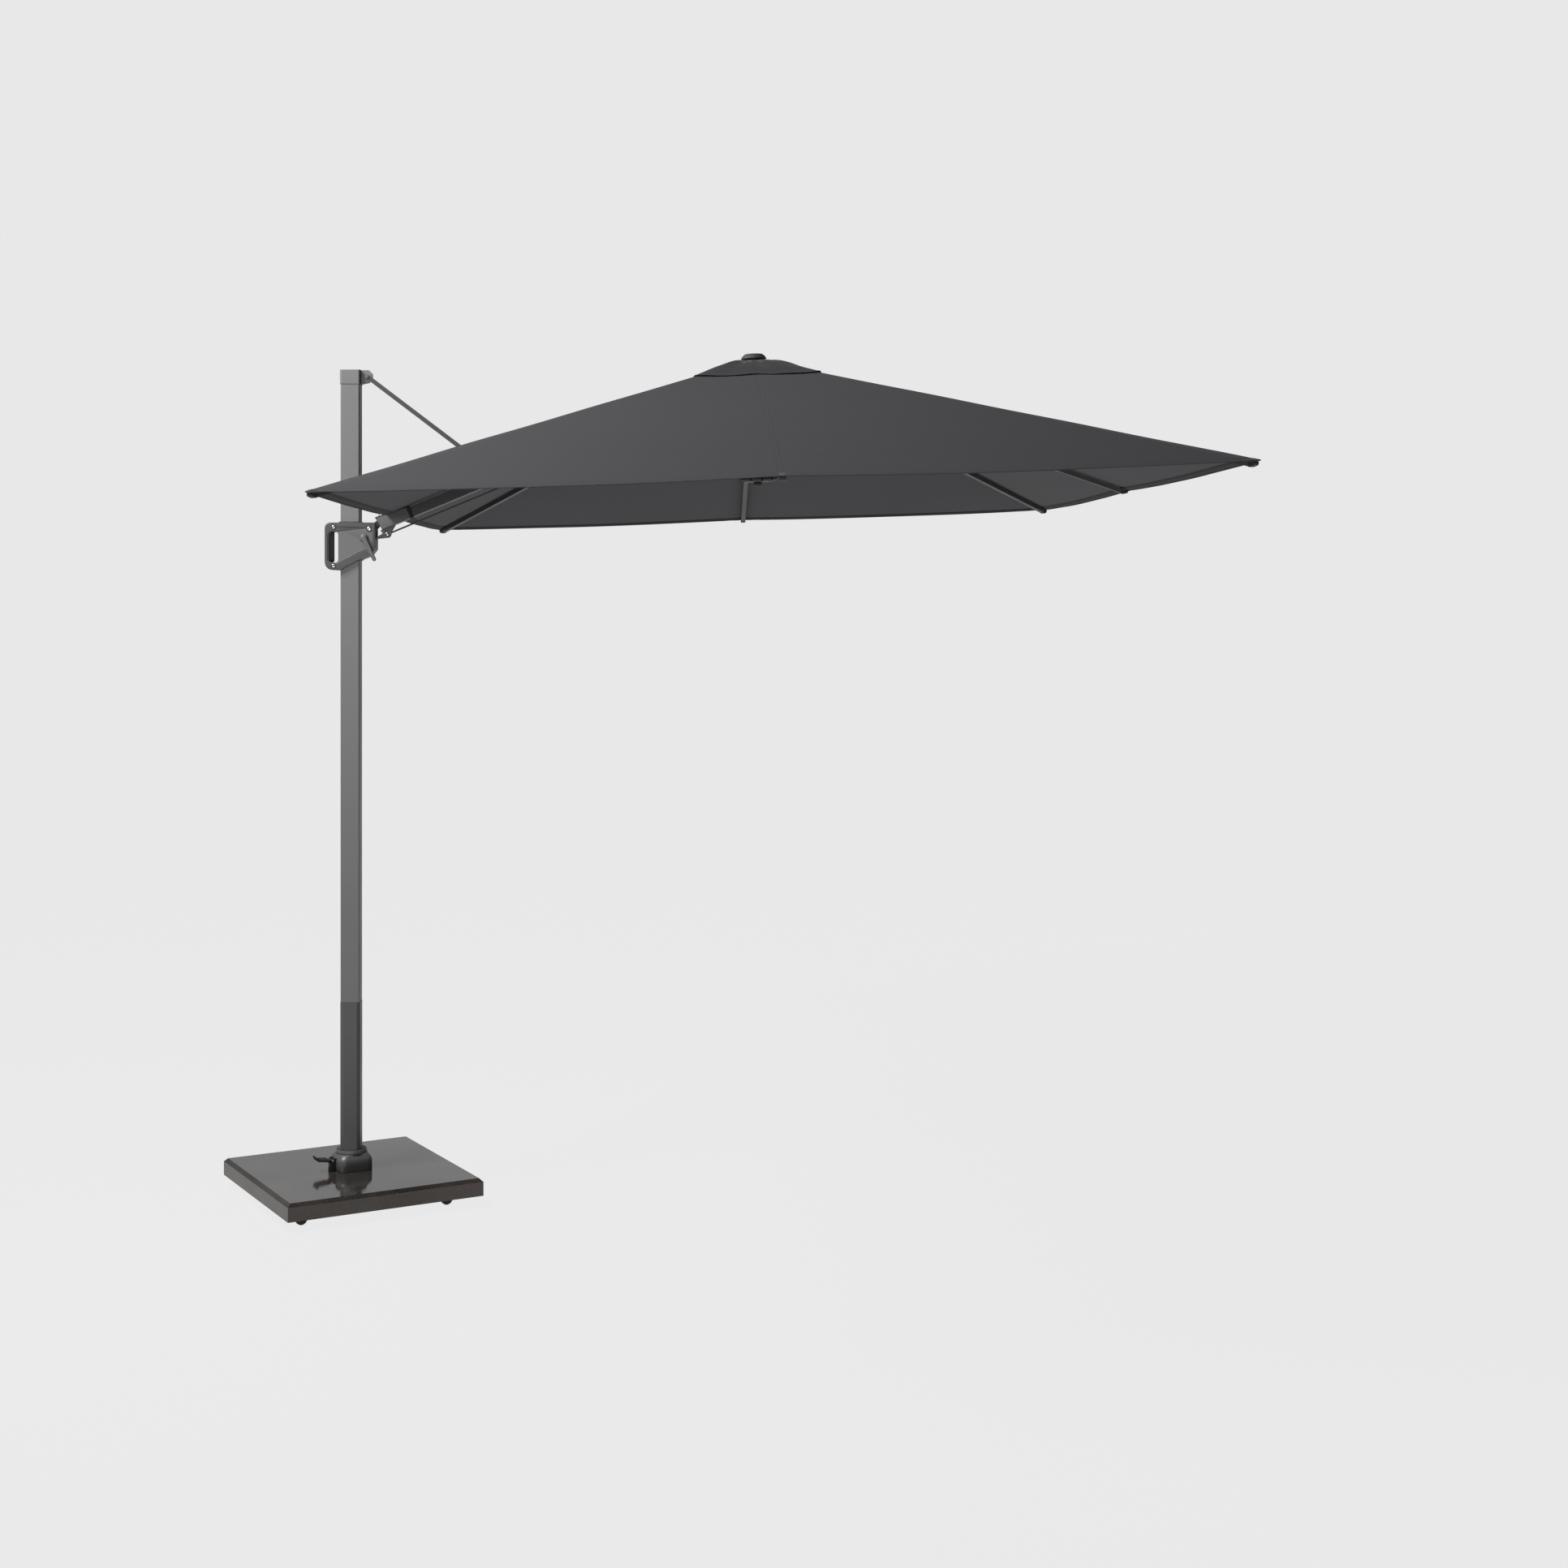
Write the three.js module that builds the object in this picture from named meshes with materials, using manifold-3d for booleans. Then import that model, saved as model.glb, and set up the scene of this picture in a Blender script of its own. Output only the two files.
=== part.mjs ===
// Cantilever parasol: a side mast on a wheeled stone slab, a sliding handle that raises a sloping arm,
// a stay bar from the mast head, and a rectangular canopy on seven folding ribs under a small vent flap.
// Millimetres, +Z up, the floor at z = 0. The arm points along +X and the object's own centre is x = y = 0.
import * as THREE from "three";
import { mergeVertices } from "three/addons/utils/BufferGeometryUtils.js";
import Module from "manifold-3d";

const wasm = await Module();
wasm.setup();

// ---------- driving dimensions ----------
const MAST_X = -1125; // mast axis, measured from the middle of the whole object
const GAP = 0.35; // clearance between faces that meet

// base
const SLAB = 700, SLAB_THICK = 60, SLAB_LOW = 38, SLAB_CHAMFER = 12, SLAB_YAW = 28.5;
const SLAB_TOP = SLAB_LOW + SLAB_THICK;
const CASTOR_OUT = 262, CASTOR_POCKET_R = 43, CASTOR_POCKET_DEEP = 20;
const WHEEL_R = 21, WHEEL_WIDE = 15, WHEEL_TRAIL = 12;
const HOUSING = 124, HOUSING_CORNER = 27, HOUSING_HIGH = 58, RING_R = 56, RING_TOP = 170;
const PEDAL_LONG = 62, PEDAL_WIDE = 46;

// mast
const LOWER_MAST = 70, LOWER_CHAMFER = 11, LOWER_TOP = 683;
const UPPER_MAST = 67, UPPER_CORNER = 5, UPPER_TOP = 2884, TUBE_WALL = 3;
const CAP_WIDE = 71, CAP_LOW = 2840, CAP_TOP = 2889;
const STAY_TOP_X = 56.8, STAY_TOP_Z = 2867;

// carriage with its handle
const CARR_LEFT = -87, CARR_RIGHT = 88, CARR_TOP = 2356, CARR_LOW = 2190, CARR_HALF = 42;
const PIVOT_X = 67.9, PIVOT_Z = 2334, BOLT_R = 5;
const ROD_DX = 58.8, ROD_DZ = -17.8; // from an arm pivot to the levelling rod's pivot beside it

// arm, stay and levelling rod
const ARM_DEG = 22.5, ARM_DEEP = 38, ARM_WIDE = 30, ARM_TO_HUB = 1319.6, STAY_ALONG = 484;
const ARM_SOCKET_TO = 157, ARM_STARTS = 84;
const STAY_DEEP = 15, STAY_THICK = 4.5;
const ROD_R = 3, ROD_EYE_R = 10;

// canopy, in its own frame: u along the arm, v across, w up, zero in the plane of its edge
const CANOPY_X = 1425, CANOPY_Z = 2427.5, CANOPY_TILT = 1.89;
const HALF_U = 1300, HALF_V = 1750, PEAK = 501.5, FABRIC = 2.2;
const VENT_U = 212, VENT_LIFT = 7;
const RIB_DEEP = 16, RIB_WIDE = 18, RIB_HINGE_R = 80, RIB_WALL = 1.5;
const RUNNER_HINGE_R = 52, RUNNER_TRAVEL = 370, STRETCHER_OFFSET = 13;
const STRETCHER_DEEP = 16, STRETCHER_THICK = 5, POLE_R = 15;
const FOLDED_DEG = 87; // the ribs' slope when the canopy is closed
const HUB_R = 93, HUB_LOW = 441, HUB_PLATE = 3, NEST_R = 68.5; // the runner rises into the hub's nest
const DEG = Math.PI / 180;

// ribs: azimuth from +u, the radius of the rib's end, and its gap under the fabric
const CORNER_AZ = Math.atan2(HALF_V, HALF_U) / DEG, CORNER_R = Math.hypot(HALF_U, HALF_V);
const RIBS = [
  { tag: "end", az: 0, reach: HALF_U, ease: 1.6 },
  { tag: "near_outer", az: -CORNER_AZ, reach: CORNER_R, ease: 5 },
  { tag: "far_outer", az: CORNER_AZ, reach: CORNER_R, ease: 5 },
  { tag: "near_side", az: -90, reach: HALF_V, ease: 1.6 },
  { tag: "far_side", az: 90, reach: HALF_V, ease: 1.6 },
  { tag: "near_inner", az: CORNER_AZ - 180, reach: CORNER_R, ease: 5 },
  { tag: "far_inner", az: 180 - CORNER_AZ, reach: CORNER_R, ease: 5 },
];

// ---------- materials ----------
const paint = (color, roughness, metalness) =>
  new THREE.MeshStandardMaterial({ color, roughness, metalness });
const MAST_GREY = paint(0x6c6c6e, 0.5, 0.35);
const DARK_METAL = paint(0x46474a, 0.5, 0.35);
const BLACK = paint(0x191a1b, 0.6, 0);
const GREY_PLASTIC = paint(0x3d3e41, 0.6, 0);
const STEEL = paint(0xb9bbbd, 0.35, 0.9);
const GRANITE = paint(0x6d6562, 0.15, 0);
const CLOTH = paint(0x45474b, 0.9, 0);

// ---------- geometry helpers ----------
// Turns a three.js geometry into a manifold-3d solid.
function solid(geometry) {
  let g = geometry.clone();
  g.deleteAttribute("normal");
  g.deleteAttribute("uv");
  g = mergeVertices(g, 1e-4);
  return new wasm.Manifold(
    new wasm.Mesh({
      numProp: 3,
      vertProperties: g.attributes.position.array,
      triVerts: new Uint32Array(g.index.array),
    }),
  );
}

// Turns a solid back into a three.js geometry.
function geometryOf(s) {
  const m = s.getMesh(), n = m.numProp, at = new Float32Array(m.numVert * 3);
  for (let i = 0; i < m.numVert; i++) at.set(m.vertProperties.subarray(i * n, i * n + 3), i * 3);
  const g = new THREE.BufferGeometry().setAttribute("position", new THREE.BufferAttribute(at, 3));
  g.setIndex(new THREE.BufferAttribute(new Uint32Array(m.triVerts), 1));
  g.computeVertexNormals();
  return g;
}

const cut = (s, ...tools) => tools.reduce((a, t) => a.subtract(t), s);
const join = (s, ...more) => more.reduce((a, t) => a.add(t), s);

function mesh(name, s, material) {
  const m = new THREE.Mesh(geometryOf(s), material);
  m.name = name;
  return m;
}

// A box between two corners.
function box(x0, x1, y0, y1, z0, z1) {
  return solid(
    new THREE.BoxGeometry(x1 - x0, y1 - y0, z1 - z0)
      .translate((x0 + x1) / 2, (y0 + y1) / 2, (z0 + z1) / 2),
  );
}

// A cylinder along x, y or z between two stations of that axis, at a point of the other two.
function rod(axis, r, from, to, a = 0, b = 0, sides = 20, r2 = r) {
  const g = new THREE.CylinderGeometry(r2, r, to - from, sides);
  const mid = (from + to) / 2;
  if (axis === "z") g.rotateX(Math.PI / 2).translate(a, b, mid);
  if (axis === "y") g.translate(a, mid, b);
  if (axis === "x") g.rotateZ(-Math.PI / 2).translate(mid, a, b);
  return solid(g);
}

// A turned part: points are [radius, height] pairs that start and end on the axis or close on themselves.
function turned(points, sides) {
  const g = new THREE.LatheGeometry(points.map(([r, z]) => new THREE.Vector2(r, z)), sides);
  return solid(g.rotateX(Math.PI / 2));
}

// A rounded rectangle centred on the origin.
function roundedRect(w, h, r) {
  const s = new THREE.Shape(), x = w / 2, y = h / 2;
  s.moveTo(-x + r, -y);
  s.lineTo(x - r, -y);
  s.absarc(x - r, -y + r, r, -Math.PI / 2, 0, false);
  s.lineTo(x, y - r);
  s.absarc(x - r, y - r, r, 0, Math.PI / 2, false);
  s.lineTo(-x + r, y);
  s.absarc(-x + r, y - r, r, Math.PI / 2, Math.PI, false);
  s.lineTo(-x, -y + r);
  s.absarc(-x + r, -y + r, r, Math.PI, Math.PI * 1.5, false);
  return s;
}

// A square with its corners cut off.
function chamferedSquare(w, c) {
  const x = w / 2, s = new THREE.Shape();
  s.moveTo(-x + c, -x);
  for (const [px, py] of [
    [x - c, -x], [x, -x + c], [x, x - c], [x - c, x], [-x + c, x], [-x, x - c], [-x, -x + c],
  ]) s.lineTo(px, py);
  s.closePath();
  return s;
}

// A shape drawn in x and y, raised between two heights.
function raised(shape, z0, z1, curve = 3) {
  const g = new THREE.ExtrudeGeometry(shape, { depth: z1 - z0, bevelEnabled: false, curveSegments: curve });
  return solid(g.translate(0, 0, z0));
}

// A shape drawn in x and z, running across from y0 to y1.
function across(shape, y0, y1, curve = 5) {
  const g = new THREE.ExtrudeGeometry(shape, { depth: y1 - y0, bevelEnabled: false, curveSegments: curve });
  return solid(g.rotateX(Math.PI / 2).translate(0, y1, 0));
}

// A polygon drawn in x and z through [x, z, corner radius] points.
function outline(points) {
  const s = new THREE.Shape(), n = points.length;
  points.forEach(([x, z, r = 0], i) => {
    const [px, pz] = points[(i + n - 1) % n], [qx, qz] = points[(i + 1) % n];
    const p = new THREE.Vector2(px - x, pz - z).normalize(), q = new THREE.Vector2(qx - x, qz - z).normalize();
    const back = r / Math.tan(Math.acos(THREE.MathUtils.clamp(p.dot(q), -1, 1)) / 2);
    const a = [x + p.x * back, z + p.y * back], b = [x + q.x * back, z + q.y * back];
    if (i) s.lineTo(...a);
    else s.moveTo(...a);
    if (r) s.quadraticCurveTo(x, z, ...b);
  });
  s.closePath();
  return s;
}

// A bar with round ends drawn in x and z: from the origin along +x, with a hole at each end that has a radius.
function link(length, deep, holeA, holeB, y0, y1, sides = 3) {
  const s = new THREE.Shape(), r = deep / 2;
  s.moveTo(0, -r);
  s.lineTo(length, -r);
  s.absarc(length, 0, r, -Math.PI / 2, Math.PI / 2, false);
  s.lineTo(0, r);
  s.absarc(0, 0, r, Math.PI / 2, Math.PI * 1.5, false);
  let bar = across(s, y0, y1, sides);
  if (holeA) bar = cut(bar, rod("y", holeA, y0 - 1, y1 + 1, 0, 0, 10));
  if (holeB) bar = cut(bar, rod("y", holeB, y0 - 1, y1 + 1, length, 0, 10));
  return bar;
}

// A group turned so that its own x axis points up the slope by an angle in degrees, about a point.
function sloped(x, z, deg) {
  const g = new THREE.Group();
  g.position.set(x, 0, z);
  g.rotation.y = -deg * DEG;
  return g;
}

// A solid pyramid over a rectangle, its foot at w = 0 and its point at w = high.
function pyramid(halfU, halfV, high) {
  const g = new THREE.ConeGeometry(Math.SQRT2, 1, 4).rotateY(Math.PI / 4).rotateX(Math.PI / 2);
  return solid(g.translate(0, 0, 0.5).scale(halfU, halfV, high));
}

// ---------- base ----------
function baseSlab() {
  const w = SLAB / 2 - SLAB_CHAMFER, s = new THREE.Shape();
  s.moveTo(-w, -w);
  s.lineTo(w, -w);
  s.lineTo(w, w);
  s.lineTo(-w, w);
  s.closePath();
  const g = new THREE.ExtrudeGeometry(s, {
    depth: SLAB_THICK - 2 * SLAB_CHAMFER, bevelEnabled: true,
    bevelThickness: SLAB_CHAMFER, bevelSize: SLAB_CHAMFER, bevelSegments: 1,
  }).translate(0, 0, SLAB_LOW + SLAB_CHAMFER);
  const h = SLAB / 2;
  let slab = join(solid(g), box(-h, h, -h, h, SLAB_LOW, SLAB_TOP - SLAB_CHAMFER));
  for (const [i, j] of CASTOR_PLACES) {
    const x = i * CASTOR_OUT, y = j * CASTOR_OUT, top = SLAB_LOW + CASTOR_POCKET_DEEP;
    slab = cut(
      slab,
      rod("z", CASTOR_POCKET_R, SLAB_LOW - 1, top, x, y, 18),
      rod("z", 6.4, top - 1, top + 16, x, y, 8),
    );
  }
  return mesh("base_slab", slab, GRANITE);
}

const CASTOR_PLACES = [[-1, -1], [1, -1], [1, 1], [-1, 1]];

// A swivel fork under its stem, and its axle through the wheel. The stem is the group's own origin.
function castorFork(name) {
  const top = SLAB_LOW + CASTOR_POCKET_DEEP - 0.6, leg = WHEEL_WIDE / 2 + 0.7;
  const side = across(
    outline([[-9, top - 3, 0], [9, top - 3, 0], [9, top - 9, 0], [-WHEEL_TRAIL + 5, WHEEL_R - 5, 3],
      [-WHEEL_TRAIL - 5, WHEEL_R - 5, 3]]), leg, leg + 2.6, 3);
  const other = across(
    outline([[-9, top - 3, 0], [9, top - 3, 0], [9, top - 9, 0], [-WHEEL_TRAIL + 5, WHEEL_R - 5, 3],
      [-WHEEL_TRAIL - 5, WHEEL_R - 5, 3]]), -leg - 2.6, -leg, 3);
  const fork = join(
    rod("z", 18, top - 3.6, top, 0, 0, 12), side, other,
    rod("z", 5.8, top - 1, top + 12, 0, 0, 8),
    rod("y", 3, -leg - 1, leg + 1, -WHEEL_TRAIL, WHEEL_R, 8),
  );
  return mesh(name, fork, STEEL);
}

function castorWheel(name) {
  const w = WHEEL_WIDE / 2, r = WHEEL_R;
  const wheel = turned(
    [[3.5, -w], [r - 2, -w], [r, -w + 3], [r, w - 3], [r - 2, w], [3.5, w], [3.5, -w]], 16);
  const m = mesh(name, wheel, BLACK);
  m.rotation.x = Math.PI / 2;
  m.position.set(-WHEEL_TRAIL, 0, WHEEL_R);
  return m;
}

// The socket that the mast turns in: a soft square block with a bearing well.
function socketHousing() {
  const z0 = SLAB_TOP + GAP, z1 = z0 + HOUSING_HIGH, t = 9;
  const body = raised(roundedRect(HOUSING, HOUSING, HOUSING_CORNER), z0, z1 - 14, 3);
  const shoulder = solid(
    new THREE.ExtrudeGeometry(roundedRect(HOUSING - 2 * t, HOUSING - 2 * t, HOUSING_CORNER - t), {
      depth: 0.01, bevelEnabled: true, bevelThickness: 14, bevelSize: t, bevelSegments: 3, curveSegments: 3,
    }).translate(0, 0, z1 - 14));
  const block = box(-HOUSING / 2 - 17, -HOUSING / 2 + 8, -17, 17, z0, z0 + 44);
  let s = join(body, shoulder.intersect(box(-80, 80, -80, 80, z1 - 15, z1)), block);
  s = cut(
    s,
    rod("z", 52.8, z0 + 6, z1 + 1, 0, 0, 24),
    rod("x", 5.4, -HOUSING / 2 - 30, -40, 0, z0 + 20, 12),
    box(-HOUSING / 2 - 30, -HOUSING / 2 - 4, -12, 12, z0 + 27, z0 + 60),
  );
  s = join(s, rod("y", 3, -16, 16, -HOUSING / 2 - 11, z0 + 36, 12));
  return mesh("socket_housing", s, GREY_PLASTIC);
}

// The dished bearing ring on the housing.
function socketRing() {
  const z0 = SLAB_TOP + 2 * GAP + HOUSING_HIGH;
  return mesh("socket_ring", turned([
    [45.2, z0], [RING_R - 1, z0], [RING_R, z0 + 3], [RING_R - 3, RING_TOP - 1.5], [RING_R - 5.5, RING_TOP - 0.6],
    [45.2, RING_TOP - 6], [45.2, z0],
  ], 28), GREY_PLASTIC);
}

// The fixed tube that the mast stands around.
function bearingTube() {
  const z0 = SLAB_TOP + GAP + 6 + GAP;
  return mesh("bearing_tube", turned([
    [21, z0], [28, z0], [28, 330], [21, 330], [21, z0],
  ], 20), STEEL);
}

// The ribbed foot pedal, its hinge at the group's origin and its plate along -x.
function footPedal() {
  const y = PEDAL_WIDE / 2;
  const web = across(outline([[-8, 4, 2], [5.5, 4, 3], [5.5, -5, 3], [-12, -5, 0]]), -11, 11, 3);
  const plate = across(
    outline([[-11.5, 5.5, 2], [-8, 0, 0], [-11.5, -4, 0], [-PEDAL_LONG + 6, 4, 4], [-PEDAL_LONG, 17, 2],
      [-PEDAL_LONG + 5, 19, 2]]), -y, y, 3);
  const s = cut(join(web, plate), rod("y", 3.4, -30, 30, 0, 0, 12));
  return mesh("foot_pedal", s, BLACK);
}

// The pin that the pedal draws out of the mast's notched foot.
function lockPin() {
  const z = SLAB_TOP + GAP + 20;
  return mesh("lock_pin", join(
    rod("x", 5, -HOUSING / 2 - 12, -50.2, 0, z, 12),
    rod("x", 3.4, -51, -45.8, 0, z, 12, 3),
    rod("x", 8, -HOUSING / 2 - 20, -HOUSING / 2 - 17.4, 0, z, 12),
    rod("x", 5, -HOUSING / 2 - 18, -HOUSING / 2 - 11, 0, z, 12),
  ), STEEL);
}

// ---------- mast ----------
function lowerMast() {
  const z0 = SLAB_TOP + GAP + 10, inner = LOWER_MAST / 2 - TUBE_WALL;
  const tube = cut(
    raised(chamferedSquare(LOWER_MAST, LOWER_CHAMFER), RING_TOP, LOWER_TOP),
    raised(chamferedSquare(2 * inner, LOWER_CHAMFER - 1.5), RING_TOP + 8, LOWER_TOP + 1),
  );
  let foot = join(rod("z", 44.4, z0, RING_TOP + 0.01, 0, 0, 24), rod("z", 49.5, z0, z0 + 20, 0, 0, 24));
  let s = cut(join(tube, foot), rod("z", 28.6, z0 - 1, RING_TOP + 20, 0, 0, 20));
  for (let i = 0; i < 12; i++) {
    const notch = new THREE.BoxGeometry(8, 8.4, 12).translate(-48, 0, SLAB_TOP + GAP + 20);
    s = cut(s, solid(notch.rotateZ(i * Math.PI / 6 + SLAB_YAW * DEG)));
  }
  return mesh("lower_mast", s, DARK_METAL);
}

function upperMast() {
  const w = UPPER_MAST - 2 * TUBE_WALL;
  return mesh("upper_mast", cut(
    raised(roundedRect(UPPER_MAST, UPPER_MAST, UPPER_CORNER), LOWER_TOP + GAP, UPPER_TOP),
    raised(roundedRect(w, w, 2.5), LOWER_TOP, UPPER_TOP + 1, 1),
  ), MAST_GREY);
}

// The head: a sleeve over the mast's top with a single lug that carries the stay.
function mastCap() {
  const h = CAP_WIDE / 2, m = UPPER_MAST / 2 + 0.3;
  let s = raised(roundedRect(CAP_WIDE, CAP_WIDE, 7), CAP_LOW, CAP_TOP);
  s = cut(s, raised(roundedRect(2 * m, 2 * m, UPPER_CORNER + 0.3), CAP_LOW - 1, UPPER_TOP + 0.4));
  const lug = across(outline([[h - 2, CAP_LOW, 0], [62, CAP_LOW + 6, 6], [74, CAP_LOW + 18, 6], [74, CAP_TOP - 12, 3],
    [63, CAP_TOP, 2], [h - 2, CAP_TOP, 0]]), -14, 14, 3);
  s = cut(join(s, lug), rod("y", 4.4, -20, 20, STAY_TOP_X, STAY_TOP_Z, 14));
  return mesh("mast_cap", s, DARK_METAL);
}

function stayTopPin() {
  const head = STAY_THICK + 16.5 + 0.4;
  return mesh("stay_top_pin", join(
    rod("y", 4, -head - 1, head + 1, STAY_TOP_X, STAY_TOP_Z, 14),
    rod("y", 7, -head - 3, -head, STAY_TOP_X, STAY_TOP_Z, 14),
    rod("y", 7, head, head + 3, STAY_TOP_X, STAY_TOP_Z, 14),
  ), STEEL);
}

// ---------- carriage ----------
// The side view of the handle that rides on the mast.
function carriageOutline() {
  return outline([
    [CARR_LEFT, CARR_TOP, 22], [CARR_LEFT, CARR_LOW, 32], [-32, CARR_LOW, 26], [34, 2226, 30], [70, 2240, 16],
    [CARR_RIGHT, 2262, 14], [CARR_RIGHT, CARR_TOP, 7],
  ]);
}

// One half shell: side is -1 for the half with the clamp lever, +1 for the other.
function carriageShell(name, side) {
  const lo = side < 0 ? -CARR_HALF : 0.2, hi = side < 0 ? -0.2 : CARR_HALF, m = UPPER_MAST / 2 + 4.6;
  let s = across(carriageOutline(), lo, hi, 5);
  const grip = outline([[-74, 2324, 14], [-74, 2216, 14], [-39.8, 2216, 12], [-39.8, 2324, 12]]);
  s = cut(
    s,
    box(-m, m, -m, m, CARR_LOW - 5, CARR_TOP + 5),
    across(grip, -60, 60, 4),
    box(-79.4, -56.6, -9.4, 9.4, 2210, 2329.6),
    box(42.6, 110, -22, 22, 2306, CARR_TOP + 5),
    rod("y", BOLT_R + 0.25, -60, 60, PIVOT_X, PIVOT_Z, 16),
    rod("y", 3.7, -60, 60, -55.7, 2340, 12),
    rod("y", 3.7, -60, 60, -55.7, 2205, 12),
  );
  if (side < 0) s = cut(s, rod("y", 5.4, -60, -30, 50.6, 2301, 12));
  // the tongue for the levelling rod, one cheek on each half
  const tongue = across(outline([[70, 2296, 2], [CARR_RIGHT + 4, 2300, 2], [PIVOT_X + ROD_DX + 8, 2304, 8],
    [PIVOT_X + ROD_DX + 12, PIVOT_Z + ROD_DZ, 6], [PIVOT_X + ROD_DX + 7, PIVOT_Z + ROD_DZ + 9, 6],
    [PIVOT_X + ROD_DX - 8, PIVOT_Z + ROD_DZ + 7, 4], [90, 2305.4, 1], [70, 2305.4, 0]]),
  side < 0 ? -12 : 5.6, side < 0 ? -5.6 : 12, 4);
  s = join(s, tongue);
  s = cut(
    s,
    rod("y", 3.9, -20, 20, PIVOT_X + ROD_DX, PIVOT_Z + ROD_DZ, 12),
    box(CARR_RIGHT - 10, 200, -5.6, 5.6, 2290, CARR_TOP + 5),
  );
  return mesh(name, s, GREY_PLASTIC);
}

function slideBush() {
  const i = UPPER_MAST / 2 + 0.35, o = UPPER_MAST / 2 + 4.3;
  return mesh("slide_bush", cut(
    raised(roundedRect(2 * o, 2 * o, 1), CARR_LOW + 34, CARR_TOP + 3, 1),
    raised(roundedRect(2 * i, 2 * i, UPPER_CORNER), CARR_LOW, CARR_TOP + 5, 2),
  ), BLACK);
}

// A through bolt with a round head on each side of the shells.
function throughBolt(name, x, z, r, headR, half) {
  return mesh(name, join(
    rod("y", r, -half, half, x, z, 10),
    rod("y", headR, -half - 2.2, -half + 0.2, x, z, 16),
    rod("y", headR, half - 0.2, half + 2.2, x, z, 16),
  ), STEEL);
}

function trigger() {
  const bar = across(outline([[-69, 2327, 3], [-69, 2219, 3], [-60, 2219, 3], [-60, 2327, 3]]), -9, 9, 3);
  return mesh("trigger", bar, BLACK);
}

// The clamping lever on the near side, turned about the group's own origin.
function clampLever() {
  const y = -CARR_HALF - GAP;
  const lever = across(outline([[-8, 6, 6], [-6, -10, 4], [28, -76, 3], [37, -79, 5], [42, -70, 5], [11, 6, 6]]),
    y - 16, y - 6, 4);
  return mesh("clamp_lever", join(
    rod("y", 9, y - 17, y, 0, 0, 18, 13), rod("y", 5, y - 1, y + 8, 0, 0, 12), lever,
  ), BLACK);
}

// ---------- arm ----------
// Everything here lies along +x from the arm's pivot.
function armSocket() {
  const w = 21, h = 21.5;
  const body = across(outline([[0, h, 0], [ARM_SOCKET_TO - 8, h, 2], [ARM_SOCKET_TO - 8, -h, 2], [0, -h, 0]]), -w, w, 3);
  const nose = rod("y", h, -w, w, 0, 0, 24);
  const collar = box(ARM_SOCKET_TO - 10, ARM_SOCKET_TO, -w - 1.5, w + 1.5, -h - 1.5, h + 1);
  const bore = box(ARM_STARTS - GAP, ARM_SOCKET_TO + 1, -ARM_WIDE / 2 - GAP, ARM_WIDE / 2 + GAP,
    -ARM_DEEP / 2 - GAP, ARM_DEEP / 2 + GAP);
  const under = box(30, 78, -13, 13, -h - 3, 4);
  return mesh("arm_socket", cut(join(body, nose, collar), bore, under, rod("y", BOLT_R + 0.3, -30, 30, 0, 0, 16)),
    GREY_PLASTIC);
}

function arm() {
  const d = ARM_DEEP / 2, w = ARM_WIDE / 2, t = 2.2;
  let s = cut(
    box(ARM_STARTS, ARM_TO_HUB, -w, w, -d, d),
    box(ARM_STARTS - 1, ARM_TO_HUB - 30, -w + t, w - t, -d + t, d - t),
  );
  s = join(s, rod("y", d, -w, w, ARM_TO_HUB, 0, 24));
  s = cut(s, rod("y", 5.4, -30, 30, ARM_TO_HUB, 0, 14));
  // the short studs beside the stay's two bars
  s = join(s, rod("y", 5, -w - 1.1, w + 1.1, STAY_ALONG, 0, 14));
  return mesh("arm", s, DARK_METAL);
}

// The stay: two flat bars joined by two cross bars, from its top pivot along +x.
function stay(length) {
  const y0 = ARM_WIDE / 2 + 1.5, y1 = y0 + STAY_THICK;
  const cross = (x) => box(x - 5, x + 5, -y0 - 1, y0 + 1, -5, 5);
  return mesh("stay", join(
    link(length, STAY_DEEP, 4.4, 4, y0, y1), link(length, STAY_DEEP, 4.4, 4, -y1, -y0),
    cross(64), cross(length - 190),
  ), DARK_METAL);
}

function levelRod() {
  const eye = (x) => rod("y", ROD_EYE_R, -5, 5, x, 0, 14);
  let s = join(rod("x", ROD_R, 0, ARM_TO_HUB, 0, 0, 10), eye(0), eye(ARM_TO_HUB));
  s = cut(s, rod("y", 3.9, -10, 10, 0, 0, 12), rod("y", 3.9, -10, 10, ARM_TO_HUB, 0, 12));
  return mesh("level_rod", s, STEEL);
}

// ---------- canopy frame, in the canopy's own u, v, w ----------
const slopeTan = (rib) => PEAK / rib.reach;
const hingeW = (rib) => {
  const s = Math.atan(slopeTan(rib));
  return PEAK - FABRIC / Math.cos(s) - (rib.ease + RIB_DEEP / 2) / Math.cos(s) - RIB_HINGE_R * slopeTan(rib);
};

// Where a rib's stretcher joins it, so that the runner's travel folds the rib to its closed slope.
function stretcherReach(rib) {
  const s = Math.atan(slopeTan(rib)), c = FOLDED_DEG * DEG, out = RIB_HINGE_R - RUNNER_HINGE_R;
  const open = Math.cos(s) * out - Math.sin(s) * RUNNER_TRAVEL;
  const shut = Math.cos(c) * out;
  return (RUNNER_TRAVEL ** 2) / (2 * (shut - open));
}

// The rib group's frame: x out along the rib from its hinge, z up out of it, y across.
function ribFrame(rib) {
  const turn = new THREE.Group(), tilt = new THREE.Group();
  turn.rotation.z = rib.az * DEG;
  tilt.position.set(RIB_HINGE_R, 0, hingeW(rib));
  tilt.rotation.y = Math.atan(slopeTan(rib));
  turn.add(tilt);
  return [turn, tilt];
}

const ribLength = (rib) => (rib.reach - RIB_HINGE_R - (rib.reach > HALF_V ? 14 : 8)) / Math.cos(Math.atan(slopeTan(rib)));

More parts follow.
